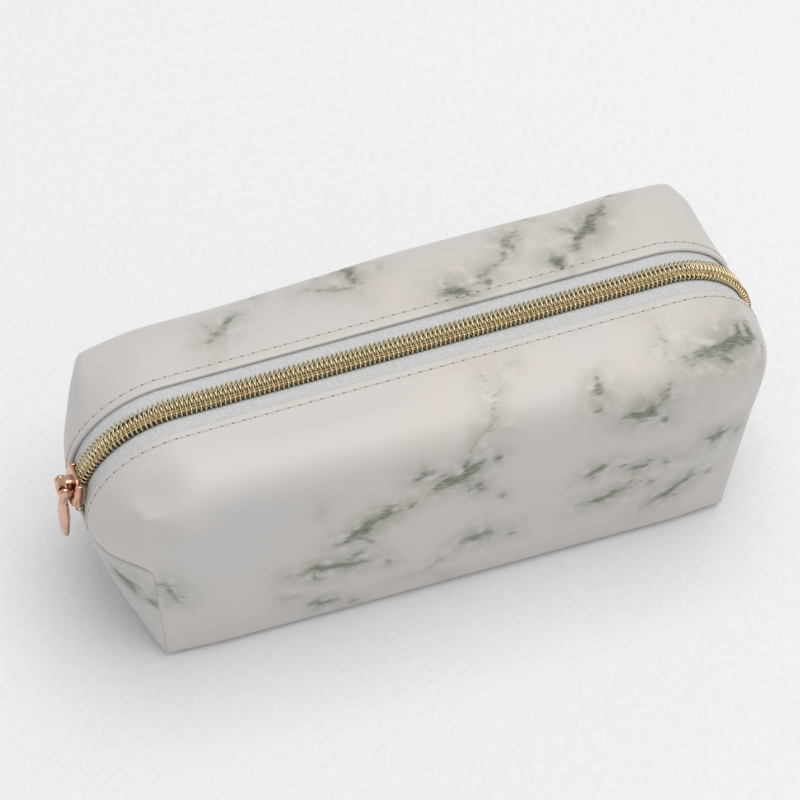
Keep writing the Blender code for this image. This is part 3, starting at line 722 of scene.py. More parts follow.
def skin_arrays(side, step, rolled):
    """Points, faces, sheet places, girth of the fold and the strength of rounding of one half's sheet."""
    stations = path_stations(step)
    across = across_stations(step, rolled)
    points, sheet, ids, strength = [], [], [], []
    for s in stations:
        column = []
        rows = roll_rows(s) if rolled else []
        rows = rows + [upper_point(s, b) for b in across]
        first = len(rows) - len(across)
        girth = -sum((rows[j + 1] - rows[j]).length for j in range(first))
        for j, point in enumerate(rows):
            if j:
                girth += (point - rows[j - 1]).length
            column.append(len(points))
            points.append(placed(point, side))
            sheet.append((s / MM, girth / MM))
            strength.append(0.0 if j <= first + STITCHED_ROWS else ROUNDING)
        ids.append(column)
    faces = grid_faces(ids)

    ear = len([s for s in stations if s < -EAR_PATH - 1e-9])
    beyond = [mix(EAR_HEIGHT, END_SEAM_HEIGHT, i / ear) for i in range(ear + 1)]
    below = steps(END_SEAM_HEIGHT, HEM_RADIUS, round((END_SEAM_HEIGHT - HEM_RADIUS) / step))
    hem = [HEM_RADIUS * (1 - math.cos(angle)) for angle in steps(math.pi / 2, 0.0, 4)]
    heights = beyond + below[1:] + hem[1:]
    columns = range(ear, len(stations) - ear)
    wall_ids = []
    for i in columns:
        s = stations[i]
        end = outer_edge(s)[0]
        column = [ids[i][-1]]
        girth = sheet[column[0]][1]
        previous = Vector(points[column[0]])
        for k, height in enumerate(heights[1:], 1):
            at_corner = i in (columns[0], columns[-1])
            if at_corner and k <= ear:
                neighbour = i - k if i == columns[0] else i + k
                column.append(ids[neighbour][-1])
                previous = Vector(points[column[-1]])
                girth += (EAR_HEIGHT - END_SEAM_HEIGHT) / ear / MM
                continue
            point = placed(wall_point(end.x, height), side)
            girth += (point - previous).length / MM
            previous = point
            column.append(len(points))
            points.append(point)
            sheet.append((s / MM, girth))
            strength.append(0.0 if height < HEM_RADIUS or at_corner else ROUNDING)
        wall_ids.append(column)
    faces += grid_faces(wall_ids)
    points, faces, sheet = flat_arrays(points, faces, sheet)
    strength = np.array(strength)

    middle = min(range(len(stations)), key=lambda i: abs(stations[i]))
    fold_girth = sheet[ids[middle][-1]][1] * MM
    for i, column in enumerate(ids):
        if abs(stations[i]) > EAR_PATH - 1e-9:
            strength[column[-1]] = CORNER_ROUNDING if rolled else ROUNDING
        if i in (0, len(ids) - 1):
            strength[column] = 0.0
    return points, faces, sheet, fold_girth, strength


def near_share(distance, reach):
    return np.clip(1 - distance / reach, 0, 1) ** 2


def sink_at_seams(obj, seams):
    """Dip the sheet where it is sewn. Beside an upright seam it goes in towards the pouch's middle, so that
    both sheets still meet; beside a level one it goes straight in."""
    obj.data.update()
    points = vertex_array(obj.data)
    inwards = -vertex_array(obj.data, "normal")
    diagonal = -np.sign(points) * (math.sqrt(0.5), math.sqrt(0.5), 0.0)
    shift = np.zeros_like(points)
    for seam in seams:
        upright = abs(seam[0].z - seam[-1].z) > UPRIGHT_SEAM
        line = np.array([tuple(p) for p in seam])
        distance = np.full(len(points), 1.0)
        for start, end in zip(line, line[1:]):
            run = end - start
            t = np.clip((points - start) @ run / (run @ run), 0, 1)
            distance = np.minimum(distance, np.linalg.norm(points - start - t[:, None] * run, axis=1))
        move = (diagonal if upright else inwards) * (SEAM_DIP * near_share(distance, SEAM_REACH))[:, None]
        deeper = np.linalg.norm(move, axis=1) > np.linalg.norm(shift, axis=1)
        shift[deeper] = move[deeper]
    obj.data.vertices.foreach_set("co", (points + shift).ravel())
    obj.data.update()


def corner_seams(side):
    """The lines where a half's sheet is sewn to the lower ends, from the floor to the end seams."""
    lines = []
    for end in (-1.0, 1.0):
        heights = steps(HEM_RADIUS, END_SEAM_HEIGHT, 8)
        corner = [Vector((end * corner_half_length(z), -corner_half_width(z), z)) for z in heights]
        lines.append([placed(p, side) for p in corner])
        lines.append([placed(upper_point(end * PATH_HALF, b), side) for b in steps(0.0, 1.0, 16)])
    return lines


# Dents of a pouch that has been handled: place over the sheet, radius and depth, all in millimetres. A
# negative depth is a swell.
DENTS = {
    "front": [
        (-99, 21, 10, 4.0), (-91, 14, 8, 1.0), (-84, 35, 8, -2.0), (-83, 50, 6, -1.6), (-82, 66, 6, -1.5),
        (-72, 52, 12, 0.8), (-30, 24, 20, -0.5), (28, 30, 24, 0.8), (62, 28, 13, 0.7), (0, 68, 30, -0.6),
        (100, 20, 9, 1.5), (84, 36, 8, -2.0), (82, 60, 7, -0.8), (45, 70, 18, 0.5),
    ],
    "back": [(-97, 22, 9, 1.2), (-50, 28, 18, 0.6), (10, 26, 26, -0.5), (60, 24, 16, 0.7), (20, 70, 26, 0.6)],
}
SWELL = 0.3 * MM
SWELL_SPAN = 22.0 * MM

# How far from the sewn and stitched lines a dent fades out, in millimetres.
CORNER_FADE = 6
SEAM_FADE = 8
FLOOR_FADE = 12
SEWN_TOP = END_SEAM_HEIGHT / MM + 9
WALL_START = 30


def dent(obj, panel, swells=True):
    """Press the dents in, fading them out towards the zip, the sewn seams and the floor."""
    mesh = obj.data
    mesh.update()
    places = read_sheet(mesh)[:, :2]
    points = vertex_array(mesh) / MM
    normals = vertex_array(mesh, "normal")
    depth = np.zeros(len(points))
    for along, down, radius, deep in DENTS[panel]:
        nearest = np.argmin(np.linalg.norm(places - (along, down), axis=1))
        distance = np.linalg.norm(points - points[nearest], axis=1)
        depth += deep * np.exp(-((distance / radius) ** 2))
    for i, point in enumerate(points):
        depth[i] -= SWELL / MM * noise.noise(Vector(point) / (SWELL_SPAN / MM))
    if not swells:
        depth = np.maximum(depth, 0.0)
    along, down = np.abs(places[:, 0]), places[:, 1]
    height = points[:, 2]
    from_end = ease((PATH_HALF / MM - along) / CORNER_FADE)
    from_corner = ease((EAR_PATH / MM - along) / CORNER_FADE)
    sewn = ease((SEWN_TOP - height) / SEAM_FADE) * (down > WALL_START)
    from_zip = ease((down - CORNER_FADE) / SEAM_FADE)
    fade = from_zip * ease(height / FLOOR_FADE) * from_end * (1 - sewn * (1 - from_corner))
    points -= normals * (fade * depth)[:, None]
    mesh.vertices.foreach_set("co", (points * MM).ravel())
    mesh.update()


def round_ears(obj, side):
    """Smooth the sheet round the two ears, where the fold and the corners meet in a point."""
    mesh = obj.data
    points = vertex_array(mesh)
    strength = np.zeros(len(points))
    for end in (-1.0, 1.0):
        ear = np.array(placed(fold_point(end * EAR_HALF_LENGTH), side))
        distance = np.linalg.norm(points - ear, axis=1)
        strength = np.maximum(strength, 0.5 * ease(1.4 - distance / EAR_ROUNDING))
    faces = [tuple(polygon.vertices) for polygon in mesh.polygons]
    mesh.vertices.foreach_set("co", relax(points, faces, strength, 10).ravel())
    mesh.update()


def half_sheet(name, side, step, rolled, rounds):
    """A half's sheet, rounded near its fold, and the girth of that fold."""
    points, faces, sheet, fold_girth, strength = skin_arrays(side, step, rolled)
    near_fold = np.abs(sheet[:, 1] * MM - fold_girth) < ROUNDING_REACH
    points = relax(points, faces, strength * near_fold, rounds)
    if rolled:
        points = relax(points, faces, strength, 4)
    return outward_piece(name, (points, faces, sheet)), fold_girth


def finish_leather(obj, panel):
    paint_veins(obj, panel)
    add_thickness(obj, SKIN_THICKNESS)
    apply_modifiers(obj)
    dress(obj, "leather")


def finish_lining(obj, looseness):
    wrinkle(obj, looseness)
    thicken(obj, LINING_THICKNESS)
    dress(obj, "lining")


def add_skin(side):
    name = SIDE_NAMES[side]
    obj, fold_girth = half_sheet(f"pu_{name}", side, SKIN_STEP, True, 26)
    dent(obj, name)
    round_ears(obj, side)
    sink_at_seams(obj, corner_seams(side))
    add_subdivision(obj, 1)
    apply_modifiers(obj)
    finish_leather(obj, name)
    follow_flap(obj, side, fold_girth)
    uppers = [f"{end}_upper_{name}" for end in ("left", "right")]
    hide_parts(f"{name}_wall", f"flap_{name}", *uppers)
    return obj


def add_lining(side):
    name = SIDE_NAMES[side]
    obj, fold_girth = half_sheet(f"lining_cloth_{name}", side, LINING_STEP, False, 20)
    dent(obj, name, swells=False)
    round_ears(obj, side)
    tuck(obj)
    finish_lining(obj, 0.35 * MM)
    follow_flap(obj, side, fold_girth)
    uppers = [f"lining_{end}_upper_{name}" for end in ("left", "right")]
    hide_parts(f"lining_{name}", f"lining_flap_{name}", *uppers)
    return obj


def tuck(obj):
    """Set a lining behind its outer sheet, and its edges inside the sewn corners."""
    obj.data.update()
    for vertex in obj.data.vertices:
        inner = vertex.co - vertex.normal * LINING_DEPTH
        vertex.co = [a * share for a, share in zip(inner, LINING_TUCK)]


def wrinkle(obj, depth):
    """Loose cloth: shallow folds into the pouch."""
    obj.data.update()
    for vertex in obj.data.vertices:
        fold = 0.5 + 0.5 * noise.noise(Vector((vertex.co.x * 60, vertex.co.y * 60, vertex.co.z * 35)))
        vertex.co -= vertex.normal * fold * depth


# ---------------------------------------------------------------- lower ends and bottom

def end_seam_curve():
    """y and x of the +X end seam, from the zip to the corner, before it is placed."""
    edge = [upper_point(PATH_HALF, b) for b in steps(0.0, 1.0, 40)]
    return np.array([0.0] + [-p.y for p in edge]), np.array([edge[0].x] + [p.x for p in edge])


SEAM_Y, SEAM_X = end_seam_curve()


def lower_end_point(w, z):
    """Lower half of the +X end, w of the way to the front corner (1) or the back corner (-1)."""
    inset = 0.0
    if z < HEM_RADIUS:
        inset = HEM_RADIUS * (1 - math.sin(math.acos(1 - z / HEM_RADIUS)))
    seam = float(np.interp(abs(w) * corner_half_width(END_SEAM_HEIGHT), SEAM_Y, SEAM_X))
    floor = BOTTOM_HALF_LENGTH + END_BULGE_AT_BOTTOM * (1 - w * w)
    rise = z / END_SEAM_HEIGHT
    x = mix(floor, seam, rise) + END_BULGE * math.sin(math.pi * rise) * (1 - w * w)
    return Vector((x - inset, -w * (corner_half_width(z) - inset), z))


def placed_end(point, end):
    side = 1.0 if point.y <= 0 else -1.0
    return placed(Vector((end * point.x, -abs(point.y), point.z)), side)


def end_arrays(end, step):
    half = corner_half_width(END_SEAM_HEIGHT)
    across = steps(-1.0, 1.0, round(2 * half / step))
    hem = [HEM_RADIUS * (1 - math.cos(angle)) for angle in steps(0.0, math.pi / 2, 4)]
    heights = hem + steps(HEM_RADIUS, END_SEAM_HEIGHT, round((END_SEAM_HEIGHT - HEM_RADIUS) / step))[1:]

    def place(w, z):
        return placed_end(lower_end_point(w, z), end), (w * half / MM + END_PRINT_PLACE * end, z / MM)

    return grid_arrays(across, heights, place)


def add_end(end):
    name = "left" if end < 0 else "right"
    obj = outward_piece(f"pu_end_{name}", end_arrays(end, SKIN_STEP))
    lines = corner_seams(1.0) + corner_seams(-1.0)
    lines.append([placed_end(lower_end_point(w, END_SEAM_HEIGHT), end) for w in steps(-1.0, 1.0, 24)])
    sink_at_seams(obj, lines)
    add_subdivision(obj, 1)
    apply_modifiers(obj)
    finish_leather(obj, name)
    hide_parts(f"{name}_lower_end")
    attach(obj, "root")

    lining = outward_piece(f"lining_cloth_end_{name}", end_arrays(end, LINING_STEP))
    tuck(lining)
    finish_lining(lining, 0.3 * MM)
    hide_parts(f"lining_{name}_lower")
    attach(lining, "root")
    return obj, lining


def bottom_arrays(height, inset, step):
    half_width = CORNER_BOTTOM_HALF_WIDTH - HEM_RADIUS - inset

    def place(p, q):
        reach = BOTTOM_HALF_LENGTH + END_BULGE_AT_BOTTOM * (1 - q * q) - HEM_RADIUS - inset
        side = 1.0 if q <= 0 else -1.0
        point = placed(Vector((p * reach, -abs(q) * half_width, height)), side)
        return point, (point.x / MM, point.y / MM + BOTTOM_PRINT_PLACE)

    along = steps(-1.0, 1.0, round(2 * BOTTOM_HALF_LENGTH / step))
    return grid_arrays(along, steps(-1.0, 1.0, round(2 * half_width / step)), place)


def add_bottom():
    obj = outward_piece("pu_bottom", bottom_arrays(0.0, 0.0, 3.0 * MM))
    finish_leather(obj, "bottom")
    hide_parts("bottom_panel")
    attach(obj, "root")

    arrays = bottom_arrays(LINING_DEPTH + LINING_THICKNESS, 0.8 * MM, 4.0 * MM)
    lining = outward_piece("lining_cloth_bottom", arrays)
    finish_lining(lining, 0.5 * MM)
    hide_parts("lining_bottom")
    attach(lining, "root")
    return obj, lining


# ---------------------------------------------------------------- marble print

# The print's main veins over the flat sheet, in millimetres: how far along the zip from its middle and how
# far down from its edge each one starts, the way it runs (0 is +X, 90 is down), its length and its depth.
# The lower ends lie at END_PRINT_PLACE along, measured up from the floor, and the bottom round
# BOTTOM_PRINT_PLACE down.
VEINS = {
    "front": [
        (-40, 60, -20, 26, 0.95), (-55, 70, 10, 30, 0.85), (-50, 90, 0, 12, 0.7), (-60, 80, 15, 12, 0.4),
        (-10, 45, -30, 20, 0.95), (0, 40, -65, 40, 0.45), (0, 45, 35, 12, 0.7), (-15, 35, 0, 5, 0.8),
        (0, 75, 5, 14, 0.85), (-25, 90, -15, 50, 0.4), (-90, 70, -110, 15, 0.65), (-45, 35, 80, 12, 0.3),
        (70, 20, -10, 28, 1.0), (95, 10, 80, 9, 0.9), (65, 5, 95, 20, 0.4), (65, 25, 130, 14, 0.65),
        (50, 35, 10, 10, 1.0), (45, 20, 125, 6, 0.75), (80, 55, -20, 10, 0.85), (40, 60, -10, 10, 0.8),
        (40, 75, -10, 22, 0.8), (55, 60, 5, 10, 0.8), (65, 85, -35, 22, 0.85), (65, 60, 0, 16, 0.4),
    ],
    "back": [
        (-60, 5, 50, 22, 0.6), (-30, 20, -10, 26, 0.5), (-10, 30, -100, 14, 0.9), (10, 5, -5, 12, 0.85),
        (20, 5, 15, 14, 0.65), (30, 10, 20, 18, 0.6), (45, 5, 0, 6, 0.9), (55, 5, 45, 24, 0.85),
        (-70, 60, -15, 45, 0.8), (-15, 80, 15, 40, 0.7), (45, 55, -35, 30, 0.85), (70, 90, -10, 20, 0.6),
        (85, 40, 60, 20, 0.6),
    ],
    "left": [(-180, 40, -50, 14, 0.9), (-215, 15, 20, 18, 0.6)],
    "right": [(190, 15, 35, 26, 0.8), (220, 35, 200, 15, 0.6)],
    "bottom": [(-70, 390, 20, 55, 0.8), (15, 410, -15, 50, 0.7)],
}
VEIN_STEP = 2.0
VEIN_SWING = 75
# where along a vein each branch leaves it, and how far it turns away
VEIN_BRANCHES = ((0.3, 50), (0.65, -40))
HALO_SPREAD = 3.6
PRINT_WAVE = 0.16
PRINT_WAVER = 1.6


def wander(start, heading, length):
    """A vein's course: it starts at a place, keeps its general heading and swings to either side of it."""
    place = np.array(start, float)
    course = [place]
    for i in range(max(round(length / VEIN_STEP), 2)):
        swing = noise.noise(Vector((0.45 * i, 0.37 * start[0], 0.53 * start[1])))
        angle = math.radians(heading + VEIN_SWING * swing)
        place = place + VEIN_STEP * np.array((math.cos(angle), math.sin(angle)))
        course.append(place)
    return course


def vein_courses(panel):
    """Depth, half width and course of every vein of a panel, each with two branches and a loose speck."""
    courses = []
    for along, down, heading, length, depth in VEINS[panel]:
        main = wander((along, down), heading, length)
        courses.append((depth, mix(0.7, 2.1, depth), main))
        for share, turn in VEIN_BRANCHES:
            fork = main[int(share * (len(main) - 1))]
            courses.append((0.75 * depth, 1.3, wander(fork, heading + turn, 0.35 * length)))
        speck = main[-1] + np.array((2.5, 3.0))
        courses.append((0.8 * depth, 1.4, wander(speck, heading, VEIN_STEP)))
    return courses


def vein_field(places, veins):
    """Core and halo of the print at places on the sheet."""
    core = np.zeros(len(places))
    halo = np.zeros(len(places))
    for depth, width, course in veins:
        line = np.array(course, float)
        distance = np.full(len(places), 1e3)
        share = np.zeros(len(places))
        total = max(len(line) - 1, 1)
        for i, (start, end) in enumerate(zip(line, line[1:])):
            run = end - start
            t = np.clip((places - start) @ run / (run @ run), 0, 1)
            found = np.linalg.norm(places - start - t[:, None] * run, axis=1)
            closer = found < distance
            distance[closer] = found[closer]
            share[closer] = (i + t[closer]) / total
        fade = 0.45 + 0.55 * np.sin(np.pi * np.clip(share, 0.02, 0.98))
        core = np.maximum(core, depth * fade * np.exp(-((distance / width) ** 2)))
        halo = np.maximum(halo, depth * fade * np.exp(-((distance / (HALO_SPREAD * width)) ** 2)))
    return core, halo


def paint_veins(obj, panel):
    places = read_sheet(obj.data)[:, :2].astype(float)
    waves = places * PRINT_WAVE
    shift = np.array([[noise.noise(Vector((x, y, layer))) for layer in (4.0, 9.0)] for x, y in waves])
    core, halo = vein_field(places + PRINT_WAVER * shift, vein_courses(panel))
    write_floats(obj.data, "vein", core)
    write_floats(obj.data, "halo", halo)


# ---------------------------------------------------------------- zip

COIL_PITCH = 1.45 * MM
COIL_WIRE = 0.26 * MM
COIL_SIDES = 7
COIL_END_GAP = 1.2 * MM
THREAD_RADIUS = 0.17 * MM
THREAD_SIDES = 5
THREAD_PLACE = 2.35 * MM
THREAD_SWING = 0.42 * MM
THREAD_LIFT = 0.12 * MM
THREAD_END_GAP = 1.6 * MM
TAPE_SAG = 0.12 * MM


def tape_piece(side):
    """One half of the zip's tape, over the whole path; its inner edge is dark, partly for the woven cord
    there and partly as painted shade under the coil.
    """
    name = SIDE_NAMES[side]
    across = [0.7, 1.0, 2.0, 3.4, 4.2, 5.0, 6.2, 7.4, 8.6, TAPE_OUTER / MM]

    def place(s, y):
        sag = TAPE_SAG * math.sin(math.pi * (y - 3.4) / 6.0) if y > 3.4 else 0.0
        return on_zip(s, -side * y * MM, -sag), (s / MM, y)

    obj = outward_piece(f"zip_tape_{name}", grid_arrays(path_stations(SKIN_STEP), across, place))
    thicken(obj, TAPE_THICKNESS)
    dress(obj, "tape")
    follow_flap(obj, side)
    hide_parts(f"tape_{name}", f"tape_left_{name}", f"tape_right_{name}")
    return obj


def coil_piece(side):
    """One coil: a flattened spiral whose heads lock past the middle into the other coil's."""
    name = SIDE_NAMES[side]
    phase = 0.0 if side > 0 else 0.5
    reach = PATH_HALF - COIL_END_GAP
    turns = int(2 * reach / COIL_PITCH)
    outer = COIL_HALF - COIL_WIRE
    top = COIL_HEIGHT - COIL_WIRE
    low = COIL_WIRE + 0.1 * MM
    # share of the pitch, distance out from the zip's middle, height over the tape
    loop = [
        (0.00, outer - 0.25 * MM, low),
        (0.02, outer + 0.05 * MM, mix(low, top, 0.3)),
        (0.05, outer + 0.05 * MM, mix(low, top, 0.75)),
        (0.09, outer - 0.45 * MM, top),
        (0.16, 1.9 * MM, top),
        (0.22, 0.6 * MM, top + 0.02 * MM),
        (0.26, -0.25 * MM, top - 0.05 * MM),
        (0.30, -0.70 * MM, mix(low, top, 0.6)),
        (0.36, -0.62 * MM, mix(low, top, 0.2)),
        (0.44, 0.0, low),
        (0.70, 1.6 * MM, low - 0.08 * MM),
    ]
    path, along = [], []
    for turn in range(turns):
        for share, y, height in loop:
            s = -reach + (turn + phase + share) * COIL_PITCH
            if s > reach:
                break
            path.append(on_zip(s, -side * y, height))
            along.append(s)
    points, faces = tube(path, COIL_WIRE, COIL_SIDES)
    sheet = np.column_stack([np.repeat(along, COIL_SIDES) / MM, points[:, 1:] / MM])
    obj = make_piece(f"zip_coil_{name}", points, faces, sheet)
    dress(obj, "coil")
    follow_flap(obj, side)
    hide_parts(f"coil_{name}", f"coil_left_{name}", f"coil_right_{name}")
    return obj


def coil_threads(side):
    """The sewing threads that tie one coil to its tape: two strands crossing over each turn."""
    name = SIDE_NAMES[side]
    reach = PATH_HALF - THREAD_END_GAP
    strands, along = [], []
    count = int(2 * reach / COIL_PITCH) * 6
    for strand in (1.0, -1.0):
        path = []
        for i in range(count + 1):
            s = mix(-reach, reach, i / count)
            turn = math.pi * s / COIL_PITCH
            y = THREAD_PLACE + strand * THREAD_SWING * math.sin(turn)
            height = COIL_HEIGHT + 0.02 * MM + strand * THREAD_LIFT * math.cos(turn)
            path.append(on_zip(s, -side * y, height))
            along += [s / MM] * THREAD_SIDES
        strands.append(tube(path, THREAD_RADIUS, THREAD_SIDES))
    points, faces = joined(strands)
    across = np.array(points)[:, 1:] / MM
    obj = make_piece(f"zip_thread_{name}", points, faces, np.column_stack([along, across]))
    dress(obj, "coil_thread")
    follow_flap(obj, side)
    return obj


# ---------------------------------------------------------------- stitches

def capsule(centre, along, out, size):
    """A stitch: rings of an egg drawn out along the seam, and the faces between them."""
    length, width, height = size
    side = along.cross(out).normalized()
    points = []
    ring = 6
    angles = [math.radians(a) for a in (-68, -35, 0, 35, 68)]
    for angle in angles:
        for k in range(ring):
            turn = 2 * math.pi * k / ring
            swell = math.cos(angle)
            points.append(
                centre
                + along * 0.5 * length * math.sin(angle)
                + side * 0.5 * width * swell * math.cos(turn)
                + out * 0.5 * height * swell * math.sin(turn)
            )
    return points, ring_faces(len(angles), ring)


def stitch_row(side, kind, material, offset, size):
    """A row of the seam beside the zip: its threads, or the needle holes between them as dark marks of
    painted shade.
    """
    name = SIDE_NAMES[side]
    b = STITCH_INSET / SLOT_PULL
    reach = PATH_HALF - SEAM_END_GAP
    count = int(2 * reach / STITCH_PITCH)
    row, sheet = [], []
    for i in range(count + 1):
        s = mix(-reach, reach, i / count) + offset
        here = placed(upper_point(s, b), side)
        ahead = placed(upper_point(s + 0.5 * MM, b), side)
        further = placed(upper_point(s, b + 0.02), side)
        along = (ahead - here).normalized()
        out = along.cross(further - here).normalized() * side
        if out.dot(zip_frame(s)[1]) < 0:
            out = -out
        centre = here + out * 0.02 * MM
        points, faces = capsule(centre, along, out, size)
        row.append((points, faces))
        sheet += [(s / MM + (p - here).dot(along) / MM, (p - here).dot(out) / MM) for p in points]
    obj = make_piece(f"{kind}_{name}", *joined(row), sheet)
    dress(obj, material)
    follow_flap(obj, side)
    return obj


# ---------------------------------------------------------------- slider and pull

SLIDER_PLACE = Matrix.Translation(LEFT_BEND) @ Matrix.Rotation(-SLIDER_ANGLE, 4, "Y")
SLIDER_BASE = BEND_RADIUS
UPPER_PLATE = (SLIDER_BASE + 2.65 * MM, SLIDER_BASE + 3.5 * MM)
LOWER_PLATE = (SLIDER_BASE - 2.25 * MM, SLIDER_BASE - 1.4 * MM)
PULL_LEAN = math.radians(2.0)
PULL_PLACE = Matrix.Translation(PULL_PIN) @ Matrix.Rotation(PULL_LEAN, 4, "Y")


def loft(rings):
    """Points and faces through rings of equal count."""
    return [Vector(p) for ring in rings for p in ring], ring_faces(len(rings), len(rings[0]))


def metal_piece(name, pieces, place, bevel):
    points, faces = joined(pieces)
    sheet = np.array([tuple(p / MM) for p in points])
    obj = make_piece(name, [place @ p for p in points], faces, sheet)
    bm = bmesh.new()
    bm.from_mesh(obj.data)
    bmesh.ops.recalc_face_normals(bm, faces=bm.faces)
    bm.to_mesh(obj.data)
    bm.free()
    modifier = obj.modifiers.new("edges", "BEVEL")
    modifier.width = bevel
    modifier.segments = 3
    modifier.limit_method = "ANGLE"
    modifier.angle_limit = math.radians(28)
    apply_modifiers(obj)
    obj.data.set_sharp_from_angle(angle=math.radians(24))
    dress(obj, "slider")
    return obj


def plate_rings(low, high, dome):
    """Outline of a slider plate: two shoulders at the nose and a narrower tail, as rings from below up."""
    length, width = 5.6 * MM, 5.25 * MM
    half = []
    for t in steps(0.0, 1.0, 14):
        x = mix(-length, length, t)
        nose = math.sqrt(max(0.0, 1 - ((t - 0.26) / 0.28) ** 2)) if t < 0.26 else 1.0
        taper = mix(1.0, 0.80, smooth((t - 0.3) / 0.6))
        tail = taper * math.sqrt(max(0.0, 1 - max(0.0, (t - 0.9) / 0.13) ** 2))
        half.append((x, width * max(0.42, nose) * tail))
    outline = half + [(x, -y) for x, y in reversed(half)]
    rings = []
    for height, shrink in ((low, 0.96), (low + 0.15 * MM, 1.0), (high - 0.2 * MM, 1.0), (high, 0.95)):
        rings.append([(x * shrink, y * shrink, height) for x, y in outline])
    rings.append([(x * 0.6, y * 0.6, high + dome) for x, y in outline])
    return rings


def box_rings(x0, x1, y0, y1, z0, z1):
    return [[(x0, y0, z), (x1, y0, z), (x1, y1, z), (x0, y1, z)] for z in (z0, z1)]


def add_slider():
    base = SLIDER_BASE
    over = loft(plate_rings(*UPPER_PLATE, 0.15 * MM))
    under = loft(plate_rings(*LOWER_PLATE, 0.0))
    parts = [over, under]
    for side in (-1.0, 1.0):
        rings = []
        for t in steps(0.0, 1.0, 8):
            x = mix(-4.2 * MM, 4.6 * MM, t)
            y = side * (4.75 - 0.55 * smooth((t - 0.4) / 0.6)) * MM
            foot = base + (0.5 + 0.5 * (2 * t - 1) ** 2) * MM
            inner, outer = y - 0.42 * MM, y + 0.42 * MM
            head = base + 3.0 * MM
            rings.append([(x, inner, foot), (x, outer, foot), (x, outer, head), (x, inner, head)])
        parts.append(loft(rings))
    post = loft(box_rings(-4.8 * MM, -1.4 * MM, -0.5 * MM, 0.5 * MM, base - 1.6 * MM, base + 2.85 * MM))
    parts.append(post)
    body = metal_piece("slider_shell", parts, SLIDER_PLACE, 0.16 * MM)
    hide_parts("slider_body")
    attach(body, "slider_assembly")

    foot, height, thick = base + 3.55 * MM, 4.2 * MM, 1.0 * MM
    rings = []
    for angle in steps(0.0, math.pi, 16):
        arch = math.sin(angle) ** 0.7
        half = (1.5 - 0.25 * math.sin(angle)) * MM
        sides = ((3.6 * MM, height, -half), (3.6 * MM, height, half), (2.5 * MM, height - thick, half),
                 (2.5 * MM, height - thick, -half))
        rings.append([(-reach * math.cos(angle), y, foot + rise * arch) for reach, rise, y in sides])
    bridge = metal_piece("slider_bridge", [loft(rings)], SLIDER_PLACE, 0.22 * MM)
    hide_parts("slider_crown")
    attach(bridge, "slider_assembly")


def knuckle(side):
    """One domed end of the pull's round eye, on its pin."""
    rings = []
    profile = [(1.62, 1.45), (1.75, 1.75), (2.4, 1.9), (2.9, 1.75), (3.25, 1.35), (3.45, 0.75), (3.5, 0.2)]
    for y, radius in profile:
        turn = [2 * math.pi * k / 20 for k in range(20)]
        rings.append([(radius * MM * math.cos(a), side * y * MM, radius * MM * math.sin(a)) for a in turn])
    return loft(rings)


def add_pull():
    pin = loft([
        [(0.6 * MM * math.cos(a), y * MM, 0.6 * MM * math.sin(a)) for a in steps(0.0, 2 * math.pi, 12)[:-1]]
        for y in (-1.9, 1.9)
    ])
    parts = [knuckle(1.0), knuckle(-1.0), pin]
    for side in (-1.0, 1.0):
        rings = []
        for t in steps(0.0, 1.0, 6):
            z = mix(-0.6, -5.6, t) * MM
            y = side * mix(2.35, 1.3, smooth(t)) * MM
            wide, deep = mix(0.72, 0.95, t) * MM, mix(0.95, 0.8, t) * MM
            near, far = y - wide, y + wide
            rings.append([(-deep, near, z), (deep, near, z), (deep, far, z), (-deep, far, z)])
        parts.append(loft(rings))
    # The faceted lozenge bar: height, half width and half depth at each station, and the eight corners of its
    # section as shares of depth and width.
    stations = [(-4.6, 2.0, 0.8), (-6.6, 2.6, 1.2), (-12.0, 3.2, 1.5), (-20.8, 2.3, 1.1), (-22.4, 1.9, 0.8)]
    section = [(0.75, -0.86), (1, 0), (0.75, 0.86), (0, 1), (-0.75, 0.8), (-1.25, 0), (-0.75, -0.8), (0, -1)]
    rings = [[(deep * a * MM, wide * b * MM, z * MM) for a, b in section] for z, wide, deep in stations]
    parts.append(loft(rings))
    pull = metal_piece("pull_tab", parts, PULL_PLACE, 0.12 * MM)
    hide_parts("pull")
    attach(pull, "pull_assembly")


# ---------------------------------------------------------------- frame nodes that stay

def dress_frame_nodes():
    for name, obj in frame["nodes"].items():
        kind = "binding" if "binding" in name else "slider" if name == "slider_lock_spring" else None
        if kind is None:
            continue
        place = vertex_array(obj.data) / MM
        write_vectors(obj.data, "sheet", place)
        obj.material_slots[0].link = "OBJECT"
        obj.material_slots[0].material = MATERIALS[kind]
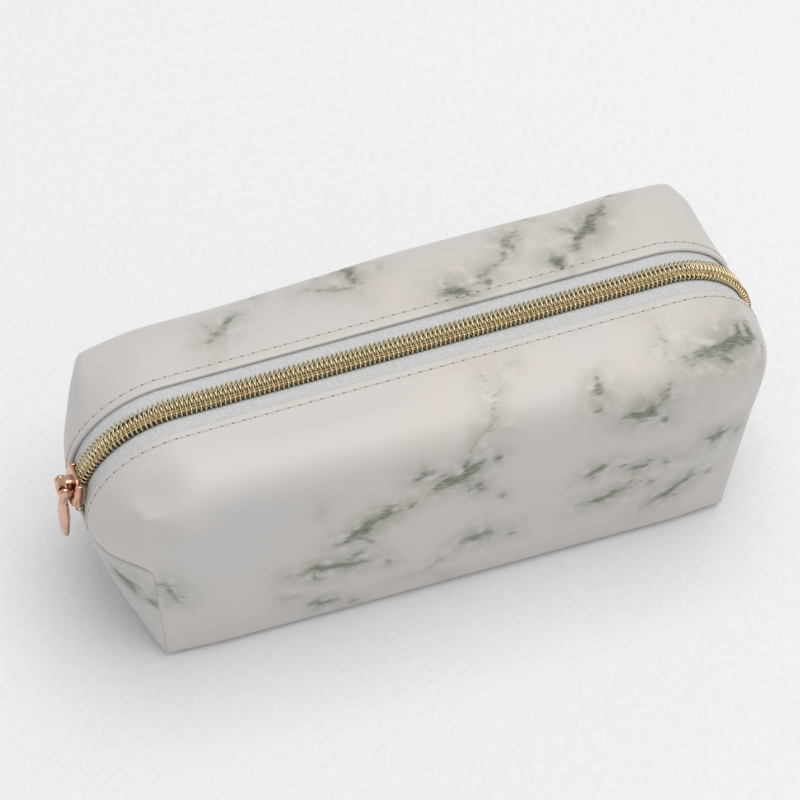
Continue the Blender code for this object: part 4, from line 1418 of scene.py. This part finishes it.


# ---------------------------------------------------------------- stage

def add_camera():
    azimuth, elevation, roll = math.radians(-22.5), math.radians(53.0), math.radians(2.8)
    target = Vector((-0.7, 13.5, 35.0)) * MM
    distance = 870.0 * MM
    level = math.cos(elevation)
    away = Vector((math.sin(azimuth) * level, -math.cos(azimuth) * level, math.sin(elevation)))
    right = (-away).cross(Vector((0, 0, 1))).normalized()
    up = right.cross(-away)
    turned_right = right * math.cos(roll) + up * math.sin(roll)
    turned_up = up * math.cos(roll) - right * math.sin(roll)
    camera = bpy.data.cameras.new("camera")
    camera.lens = 128.6
    camera.sensor_width = 36.0
    camera.clip_start = 0.05
    camera.clip_end = 20.0
    obj = bpy.data.objects.new("camera", camera)
    axes = Matrix((turned_right, turned_up, away)).transposed().to_4x4()
    obj.matrix_world = Matrix.Translation(target + away * distance) @ axes
    bpy.context.scene.collection.objects.link(obj)
    bpy.context.scene.camera = obj


def add_light(name, place, size, power, color):
    light = bpy.data.lights.new(name, "AREA")
    light.shape = "RECTANGLE"
    light.size, light.size_y = size
    light.energy = power
    light.color = color
    obj = bpy.data.objects.new(name, light)
    obj.location = place
    obj.rotation_euler = (Vector((0, 0, 0.03)) - Vector(place)).to_track_quat("-Z", "Y").to_euler()
    bpy.context.scene.collection.objects.link(obj)


def add_stage():
    floor = make_piece(
        "floor", [(-3, -3, -0.0003), (3, -3, -0.0003), (3, 3, -0.0003), (-3, 3, -0.0003)], [(0, 1, 2, 3)]
    )
    floor.data.materials.append(paper_material())
    world = bpy.data.worlds.new("studio")
    world.use_nodes = True
    background = world.node_tree.nodes["Background"]
    background.inputs["Color"].default_value = (0.95, 0.965, 1.0, 1.0)
    background.inputs["Strength"].default_value = 0.58
    bpy.context.scene.world = world
    add_light("key", (0.25, 0.0, 1.6), (1.5, 1.1), 14.2, (1.0, 0.98, 0.95))
    add_light("fill", (0.4, -1.0, 0.9), (1.0, 0.7), 0.3, (1.0, 0.97, 0.94))
    bpy.context.scene.view_settings.view_transform = "Standard"


# ---------------------------------------------------------------- assembly

def main():
    add_camera()
    add_stage()
    for side in (1.0, -1.0):
        skin = add_skin(side)
        add_lining(side)
        tape_piece(side)
        coil_piece(side)
        stitch_row(side, "stitches", "stitch", 0.0, STITCH_SIZE)
        stitch_row(side, "needle_hole_shades", "needle_hole_shade", 0.5 * STITCH_PITCH, NEEDLE_HOLE_SHADE_SIZE)
    coil_threads(1.0)
    for end in (-1.0, 1.0):
        skin, lining = add_end(end)
    skin, lining = add_bottom()
    add_slider()
    add_pull()
    dress_frame_nodes()


main()
